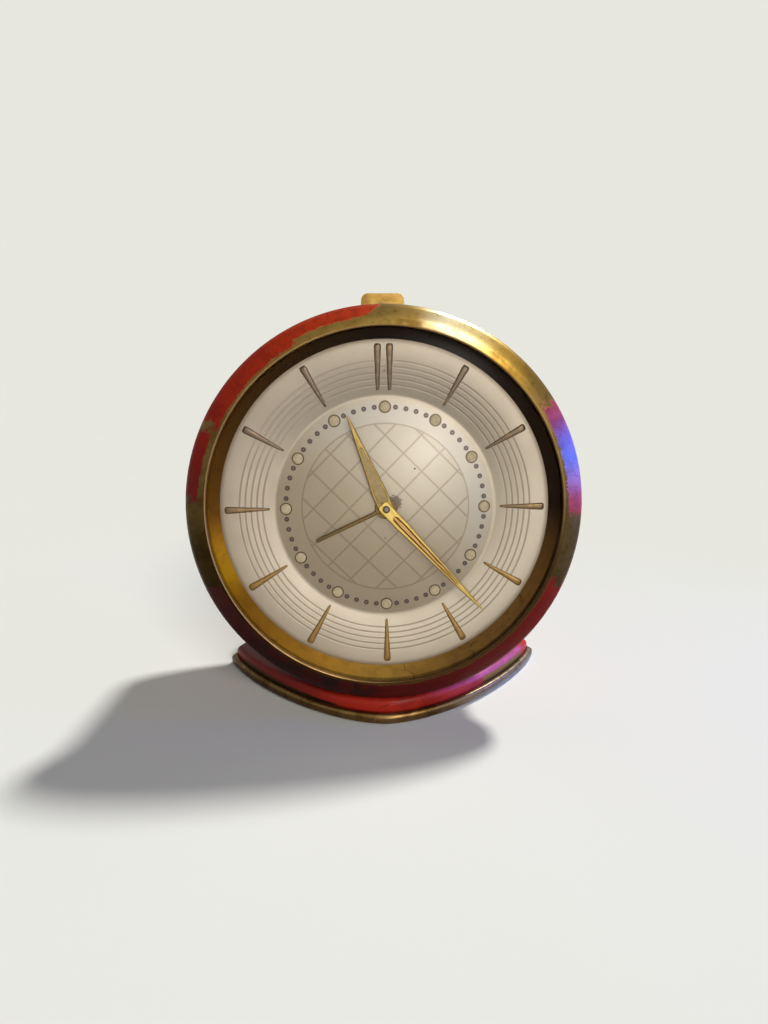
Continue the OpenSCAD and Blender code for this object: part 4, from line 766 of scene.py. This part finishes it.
def build_reflector(material):
    top = LIP_UNDER - CRYSTAL_T
    profile = [(DIAL_R, DIAL_RIM), (DIAL_EDGE, DIAL_RIM), (DIAL_EDGE, DIAL_RIM + 0.3),
               (DIAL_R + 0.3, DIAL_RIM + 0.3), (LIP_R + 0.2, top - 0.3), (CRYSTAL_R, top - 0.3),
               (CRYSTAL_R, top - 0.02), (LIP_R - 0.1, top - 0.02)]
    return lathe("reflector_cone", profile, "case", ["reflector_ring"], material)


def dial_face(r):
    """Height of the dial's face: a dome inside the valley, a flared ring round it."""
    if r <= VALLEY_R:
        return -DIAL_DIP * (r / VALLEY_R) ** 2
    if r >= DIAL_R:
        return DIAL_RIM
    return DIAL_RIM - (DIAL_DIP + DIAL_RIM) * ((DIAL_R - r) / (DIAL_R - VALLEY_R)) ** 1.6


def build_dial(material):
    hole, steps = 2.0, 72
    radii = [hole + (DIAL_EDGE - hole) * i / steps for i in range(steps + 1)]
    top = [(r, dial_face(r) - (0.02 if r > DIAL_R else 0)) for r in radii]
    low = [(r, dial_face(r) - DIAL_T) for r in reversed(radii)]
    return lathe("dial_sheet", top + low, "case", ["dial"], material)


def build_markers(material):
    """Embossed wedges with rounded backs, one at each hour and a pair at twelve."""
    rows, columns, sunk = 14, 11, 0.1
    points, faces = [], []

    def wedge(turn, w_out, w_in, shift=0.0):
        start = len(points)
        c, s = math.cos(math.radians(turn)), math.sin(math.radians(turn))
        for i in range(rows):
            t = 0.5 - 0.5 * math.cos(math.pi * i / (rows - 1))
            r = MARKER_IN + (MARKER_OUT - MARKER_IN) * t
            # The ends are narrower and lower
            end = min((MARKER_OUT - r) / 0.45, (r - MARKER_IN) / 0.3, 1.0)
            end = math.sqrt(max(end, 0.0))
            half = (w_in + (w_out - w_in) * t) / 2 * (0.62 + 0.38 * end)
            rise = 0.12 + 0.26 * end + sunk
            for j in range(columns):
                q = -1 + 2 * j / (columns - 1)
                x, y = shift + half * q, r
                back = rise * math.sqrt(max(1 - abs(q) ** 3, 0))
                z = dial_face(math.hypot(x, y)) - sunk + back
                points.append((x * c + y * s, -x * s + y * c, z))
        faces.extend(grid_faces(rows, columns, start))
        for row in (0, rows - 1):
            low = len(points)
            for j in (0, columns - 1):
                x, y, z = points[start + row * columns + j]
                points.append((x, y, z - 0.15))
            rim = [start + row * columns + j for j in range(columns)]
            faces.append((*rim, low + 1, low))

    for hour in range(1, 12):
        wedge(30 * hour, MARKER_W, MARKER_W * 0.3)
    for shift in (-1.55, 1.05):
        wedge(0, MARKER_W * 0.95, MARKER_W * 0.42, shift)
    return make("raised_markers", points, faces, "case", ["hour_markers"], [material])


def build_plots(material):
    """Low domes of luminous paste in their sockets."""
    points, faces = [], []
    rings, around, rise, sunk = 6, 28, 0.30, 0.04
    for hour in range(12):
        a = math.radians(30 * hour)
        cx, cy = PLOT_RING * math.sin(a), PLOT_RING * math.cos(a)
        start = len(points)
        for i in range(rings):
            t = math.pi / 2 * i / (rings - 1)
            radius = PLOT_R * math.cos(t * 0.98)
            for k in range(around):
                b = 2 * math.pi * k / around
                x, y = cx + radius * math.cos(b), cy + radius * math.sin(b)
                z = dial_face(math.hypot(x, y)) - sunk + rise * math.sin(t)
                points.append((x, y, z))
        faces += grid_faces(rings, around, start, closed=True)
        faces.append(tuple(start + (rings - 1) * around + k for k in range(around)))
    return make("paste_spots", points, faces, "case", ["hour_plots"], [material])


# Hands

def spread(stations, y):
    """Half width at a height, between the stations of a hand."""
    for (y0, w0), (y1, w1) in zip(stations, stations[1:]):
        if y0 <= y <= y1:
            return w0 + (w1 - w0) * (y - y0) / (y1 - y0)
    return 0.0


def build_hand(name, spec, body, replaces, outer, window, materials, thick, depth=0.0, shelf=0.5):
    """Hand with bevelled flanks and a sunk window, from half widths along its length.

    shelf is the share of the window's width that its floor takes.
    """
    turn, z0 = spec
    marks = sorted({y for y, _ in outer} | {y for y, _ in window}
                   | {outer[0][0] + (outer[-1][0] - outer[0][0]) * i / 48 for i in range(49)})
    top, bevel = z0 + thick, 0.16
    points, picks = [], []
    c, s = math.cos(math.radians(turn)), math.sin(math.radians(turn))
    inside = [window[0][0] < y < window[-1][0] for y in marks] if window else [False] * len(marks)

    def put(x, y, z):
        points.append((x * c + y * s, -x * s + y * c, z))

    for y, sunk in zip(marks, inside):
        w = max(spread(outer, y), 0.06)
        v = min(spread(window, y), w - 0.12) if sunk else 0.0
        b = min(bevel, w * 0.4)
        floor = top - depth if sunk else top
        for side in (-1, 1):
            row = [(w, z0), (w, top - bevel), (w - b, top), (max(v + 0.03, w * 0.2), top),
                   (v, floor), (v * shelf, floor)]
            if side > 0:
                row = row[::-1]
            for x, z in row:
                put(side * x, y, z)
    # Materials round a row where the window is: 0 the hand, 1 the window's floor, 2 its walls
    across = [0, 0, 0, 2, 2, 1, 2, 2, 0, 0, 0, 0]
    columns = len(across)
    for here, ahead in zip(inside, inside[1:]):
        picks += across if here and ahead else [0] * columns
    faces = grid_faces(len(marks), columns, closed=True)
    faces.append(tuple(range(columns)))
    faces.append(tuple((len(marks) - 1) * columns + j for j in reversed(range(columns))))
    obj = make(name, points, faces, body, replaces, materials, picks=picks)
    sharpen(obj, HAND_CREASE)
    return obj


def build_hands(brass, pale, groove, groove_shade, paste, edge, taupe):
    minute_outer = [(-1.33, 1.0), (-1.1, 1.28), (-0.7, 1.33), (2.2, 1.33), (5.0, 1.3), (16.0, 0.9),
                    (23.0, 0.62), (24.5, 0.6), (31.3, 0.16), (31.8, 0.07)]
    minute_window = [(2.4, 0.0), (2.7, 0.5), (3.1, 0.64), (5.0, 0.66), (16.0, 0.46), (22.8, 0.28),
                     (23.4, 0.0)]
    build_hand("minute_blade", MINUTE, "centre_group", ["minute_hand"], minute_outer,
               minute_window, [brass, groove, groove_shade], thick=0.4, depth=0.2)
    hour_outer = [(-1.7, 0.9), (-1.0, 1.45), (0.0, 1.7), (3.4, 1.68), (9.0, 1.2), (14.5, 0.8),
                  (18.0, 0.52), (21.6, 0.2), (22.0, 0.08)]
    hour_window = [(1.4, 0.0), (1.6, 1.2), (4.0, 1.24), (9.0, 0.86), (14.2, 0.4), (14.5, 0.0)]
    build_hand("hour_blade", HOUR, "hour_group", ["hour_hand"], hour_outer,
               hour_window, [pale, paste, edge], thick=0.32, depth=0.1, shelf=0.86)
    alarm_outer = [(COLLET_R - 0.3, 0.42), (16.7, 0.38), (17.1, 0.33), (17.2, 0.26)]
    build_hand("alarm_blade", ALARM, "alarm_dial_group", ["alarm_hand"], alarm_outer, [],
               [taupe], thick=0.3)
    z0 = ALARM[1]
    top, chamfer = z0 + 0.32, 0.08
    ring = [(PIPE_R, z0), (COLLET_R, z0), (COLLET_R, top - chamfer), (COLLET_R - chamfer, top),
            (PIPE_R, top)]
    lathe("alarm_collet", ring, "alarm_dial_group", [], taupe, segments=64)


# Foot

def foot_ring(inset):
    """The foot's outline, set in by some mm."""
    a, b = FOOT_W / 2 - inset, FOOT_D / 2 - inset
    ring = []
    for i in range(AROUND):
        turn = 2 * math.pi * i / AROUND
        c, s = math.cos(turn), math.sin(turn)
        ring.append((a * math.copysign(abs(c) ** (2 / FRONT_POWER), c),
                     b * math.copysign(abs(s) ** (2 / END_POWER), s)))
    return ring


def foot_loft(name, profile, replaces, material):
    """Piece of the foot: a profile of (inset, height) round its outline, closed by flat ends."""
    points = [(x, y, z) for inset, z in profile for x, y in foot_ring(inset)]
    faces = grid_faces(len(profile), AROUND, closed=True)
    faces.append(tuple(reversed(range(AROUND))))
    faces.append(tuple((len(profile) - 1) * AROUND + i for i in range(AROUND)))
    obj = make(name, points, faces, "case", replaces, [material], place=Matrix.Identity(4))
    sharpen(obj, CREASE)
    return obj


def copy_node(name, node, body, material):
    """A piece in a CAD node's own shape, for one that needs more than a material."""
    source = frame["nodes"][node]
    obj = bpy.data.objects.new(name, source.data.copy())
    obj.data.materials.clear()
    obj.data.materials.append(material)
    return declare(obj, source.matrix_world, body, [node])


def build_pad(felt):
    copy_node("felt_sole", "foot_pad", "case", felt)


def build_spring(material):
    """The button's coil spring, copied with a mesh of its own; nothing here shortens it as the
    button goes down.
    """
    coil = copy_node("button_coil", "button_spring", "case", material)
    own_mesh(coil)


def shoulder(inset, z, radius, steps):
    """Rounded top edge of the foot, from its side in to its top."""
    angles = [math.radians(90 * i / steps) for i in range(steps + 1)]
    return [(inset + radius * (1 - math.cos(a)), z - radius * (1 - math.sin(a))) for a in angles]


def build_foot(shell, rim):
    tray_top = TRAY_Z + TRAY_T
    top = shoulder(0.0, RIM_TOP, 0.9, 8)
    low = [(inset, RIM_LOW - z) for inset, z in reversed(shoulder(0.0, 0.0, 0.8, 8))]
    band = [(RIM_WALL + 0.1, TRAY_Z), (RIM_WALL + 0.1, RIM_LOW), *low, *top,
            (RIM_IN - 0.15, RIM_TOP), (RIM_IN, RIM_TOP - 0.15), (RIM_IN, tray_top)]
    foot_loft("foot_band", band, ["foot_rim"], rim)
    inside, rounding, bottom = SHELL_INSET + SHELL_WALL, 1.4, tray_top + 0.02
    cap = [(inside + 0.6, SHELL_TOP - SHELL_WALL), (inside, SHELL_TOP - rounding - 0.2),
           (inside, bottom), (SHELL_INSET, bottom),
           *shoulder(SHELL_INSET, SHELL_TOP, rounding, 10)]
    foot_loft("foot_cap", cap, ["foot_shell"], shell)


# CAD nodes that keep their own shape

def dress(node, material, bevel=0.0):
    """Gives a CAD node its material, and rounds its edges where it shows."""
    obj = frame["nodes"][node]
    if obj.material_slots:
        for slot in obj.material_slots:
            slot.material = material
    else:
        obj.data.materials.append(material)
    if bevel:
        weld = obj.modifiers.new("weld", "WELD")
        weld.merge_threshold = WELD * MM
        edge = obj.modifiers.new("edge", "BEVEL")
        edge.width = bevel * MM
        edge.segments = 3
        edge.limit_method = "ANGLE"
        edge.angle_limit = math.radians(BEVEL_FROM)
        edge.harden_normals = True


def build_scene():
    bezel_brass = bezel_finish()
    polished = aged_brass("polished_brass", rgba(164, 130, 68), rgba(126, 96, 46))
    cover_brass = aged_brass("cover_brass", rgba(178, 138, 72), rgba(120, 90, 44))
    movement = aged_brass("movement_brass", rgba(206, 166, 92), rgba(176, 138, 74), 0.28)
    red = lacquer("drum_lacquer", rgba(178, 34, 24), rgba(110, 18, 14))
    gilt = gilt_finish("hand_gilt", rgba(216, 188, 112), rgba(194, 162, 86), MINUTE[0])
    pale_gilt = gilt_finish("hour_gilt", rgba(172, 146, 90), rgba(138, 114, 66), HOUR[0])
    groove = gilt_finish("hand_groove", rgba(204, 166, 112), rgba(140, 98, 56), MINUTE[0])
    # The walls of the minute hand's groove are dark brown: painted shade in the recess
    groove_shade = gilt_finish("groove_wall_shade", rgba(104, 64, 28), rgba(74, 44, 20), MINUTE[0])
    edge = gilt_finish("window_wall", rgba(146, 116, 64), rgba(110, 84, 44), HOUR[0])
    taupe = gilt_finish("alarm_gilt", rgba(118, 98, 64), rgba(98, 80, 50), ALARM[0])
    hand_paste = paste_finish("hand_paste", rgba(186, 163, 116), rgba(162, 138, 94))
    paste = paste_finish("spot_paste", rgba(208, 192, 162), rgba(184, 168, 138))
    steel = steel_finish("steel", rgba(176, 172, 166))
    dull_steel = steel_finish("dull_steel", rgba(88, 80, 72), 0.5)
    blued = steel_finish("spring_steel", rgba(96, 102, 118), 0.3)

    felt = felt_finish()
    build_bezel(bezel_brass)
    build_crystal(glass_finish())
    build_reflector(reflector_finish())
    build_dial(dial_finish())
    build_markers(embossed_finish())
    build_plots(paste)
    build_hands(gilt, pale_gilt, groove, groove_shade, hand_paste, edge, taupe)
    build_foot(shell_finish(), rim_finish())
    build_pad(felt)
    build_spring(blued)

    finishes = {"red_lacquer": red, "aged_brass": cover_brass, "polished_brass": polished,
                "gilt_brass": taupe, "felt": felt, "movement_brass": movement,
                "spring_steel": blued, "steel": steel}
    rounded = {"stop_button": 0.4, "time_key": 0.3, "alarm_key": 0.3, "time_knob": 0.12,
               "alarm_set_knob": 0.12, "button_bush": 0.15, "cradle": 0.3, "case_screws": 0.12}
    slots = {p["node"]: p["material_slot"] for p in frame["record"]["subparts"]}
    for node in frame["nodes"]:
        material = finishes.get(slots[node])
        if material:
            dress(node, material, rounded.get(node, 0.0))
    dress("centre_arbor", steel_finish("tip_steel", rgba(128, 120, 110), 0.28), 0.3)
    dress("cannon_pinion", dull_steel)


# Camera, floor and light

def dial_to_world(x, away, up):
    """A direction given as right, away from the viewer and up the dial."""
    return CASE.to_3x3() @ Vector((x, up, -away))


def swing(a, b, degrees):
    """Two axes turned together, the first towards the second."""
    c, s = math.cos(math.radians(degrees)), math.sin(math.radians(degrees))
    return c * a + s * b, c * b - s * a


def build_camera():
    rise = math.radians(CAM_RISE)
    right = Vector((1, 0, 0))
    ahead = Vector((0, math.cos(rise), -math.sin(rise)))
    up = Vector((0, math.sin(rise), math.cos(rise)))
    ahead, up = swing(ahead, up, CAM_PITCH)
    ahead, right = swing(ahead, right, CAM_YAW)
    right, up = swing(right, up, CAM_ROLL)
    axes = [dial_to_world(*v) for v in (right, up, ahead)]
    matrix = Matrix((axes[0], axes[1], -axes[2])).transposed().to_4x4()
    matrix.translation = CASE @ (Vector((CAM_SIDE, CAM_DISTANCE * math.sin(rise),
                                         CAM_DISTANCE * math.cos(rise) + PLOT_PLANE)) * MM)
    data = bpy.data.cameras.new("camera")
    data.sensor_fit = "VERTICAL"
    data.sensor_height = SENSOR
    data.lens = CAM_FOCAL_PX / IMAGE_H * SENSOR
    data.clip_start = 0.005
    data.clip_end = 100
    camera = bpy.data.objects.new("camera", data)
    bpy.context.scene.collection.objects.link(camera)
    camera.matrix_world = matrix
    bpy.context.scene.camera = camera


def build_floor():
    mesh = bpy.data.meshes.new("floor")
    corners = [(x * FLOOR, y * FLOOR, 0) for x, y in ((-1, -1), (1, -1), (1, 1), (-1, 1))]
    mesh.from_pydata(corners, [], [(0, 1, 2, 3)])
    mesh.materials.append(floor_finish())
    floor = bpy.data.objects.new("floor", mesh)
    bpy.context.scene.collection.objects.link(floor)


def lamp(name, kind, place, energy, size, colour=(1, 1, 1)):
    """A lamp aimed at the middle of the clock; size is a disc's width or a sun's angle."""
    data = bpy.data.lights.new(name, kind)
    data.energy = energy
    data.color = colour
    if kind == "AREA":
        data.shape = "DISK"
        data.size = size
    else:
        data.angle = math.radians(size)
    obj = bpy.data.objects.new(name, data)
    bpy.context.scene.collection.objects.link(obj)
    obj.location = place
    obj.rotation_euler = (MIDDLE - Vector(place)).to_track_quat("-Z", "Y").to_euler()
    return obj


def build_world():
    """Pale surroundings where they are seen or mirrored, and a weak white fill elsewhere."""
    world = bpy.data.worlds.new("world")
    world.use_nodes = True
    tree = world.node_tree
    tree.nodes.clear()
    fill, seen = [tree.nodes.new("ShaderNodeBackground") for _ in range(2)]
    fill.inputs[0].default_value = (1.0, 1.0, 1.0, 1.0)
    fill.inputs[1].default_value = FILL
    seen.inputs[0].default_value = PALE
    rays = tree.nodes.new("ShaderNodeLightPath")
    visible = rays.outputs["Is Camera Ray"]
    for kind in ("Is Glossy Ray", "Is Transmission Ray"):
        either = tree.nodes.new("ShaderNodeMath")
        either.operation = "MAXIMUM"
        tree.links.new(visible, either.inputs[0])
        tree.links.new(rays.outputs[kind], either.inputs[1])
        visible = either.outputs[0]
    mix = tree.nodes.new("ShaderNodeMixShader")
    for source, socket in zip((visible, fill.outputs[0], seen.outputs[0]), mix.inputs):
        tree.links.new(source, socket)
    out = tree.nodes.new("ShaderNodeOutputWorld")
    tree.links.new(mix.outputs[0], out.inputs[0])
    bpy.context.scene.world = world


def build_light():
    for name, (towards, strength, angle) in SUNS.items():
        lamp(name, "SUN", MIDDLE + Vector(towards), strength, angle)
    towards, strength, angle = GLINT
    lamp("glint", "SUN", MIDDLE + dial_to_world(*towards), strength, angle)
    edge = lamp("edge", "AREA", EDGE_PLACE, EDGE_POWER, EDGE_SIZE, EDGE_COLOUR)
    edge.data.spread = math.radians(EDGE_SPREAD)


build_camera()
build_floor()
build_scene()
build_world()
build_light()
bpy.context.scene.view_settings.view_transform = "Standard"
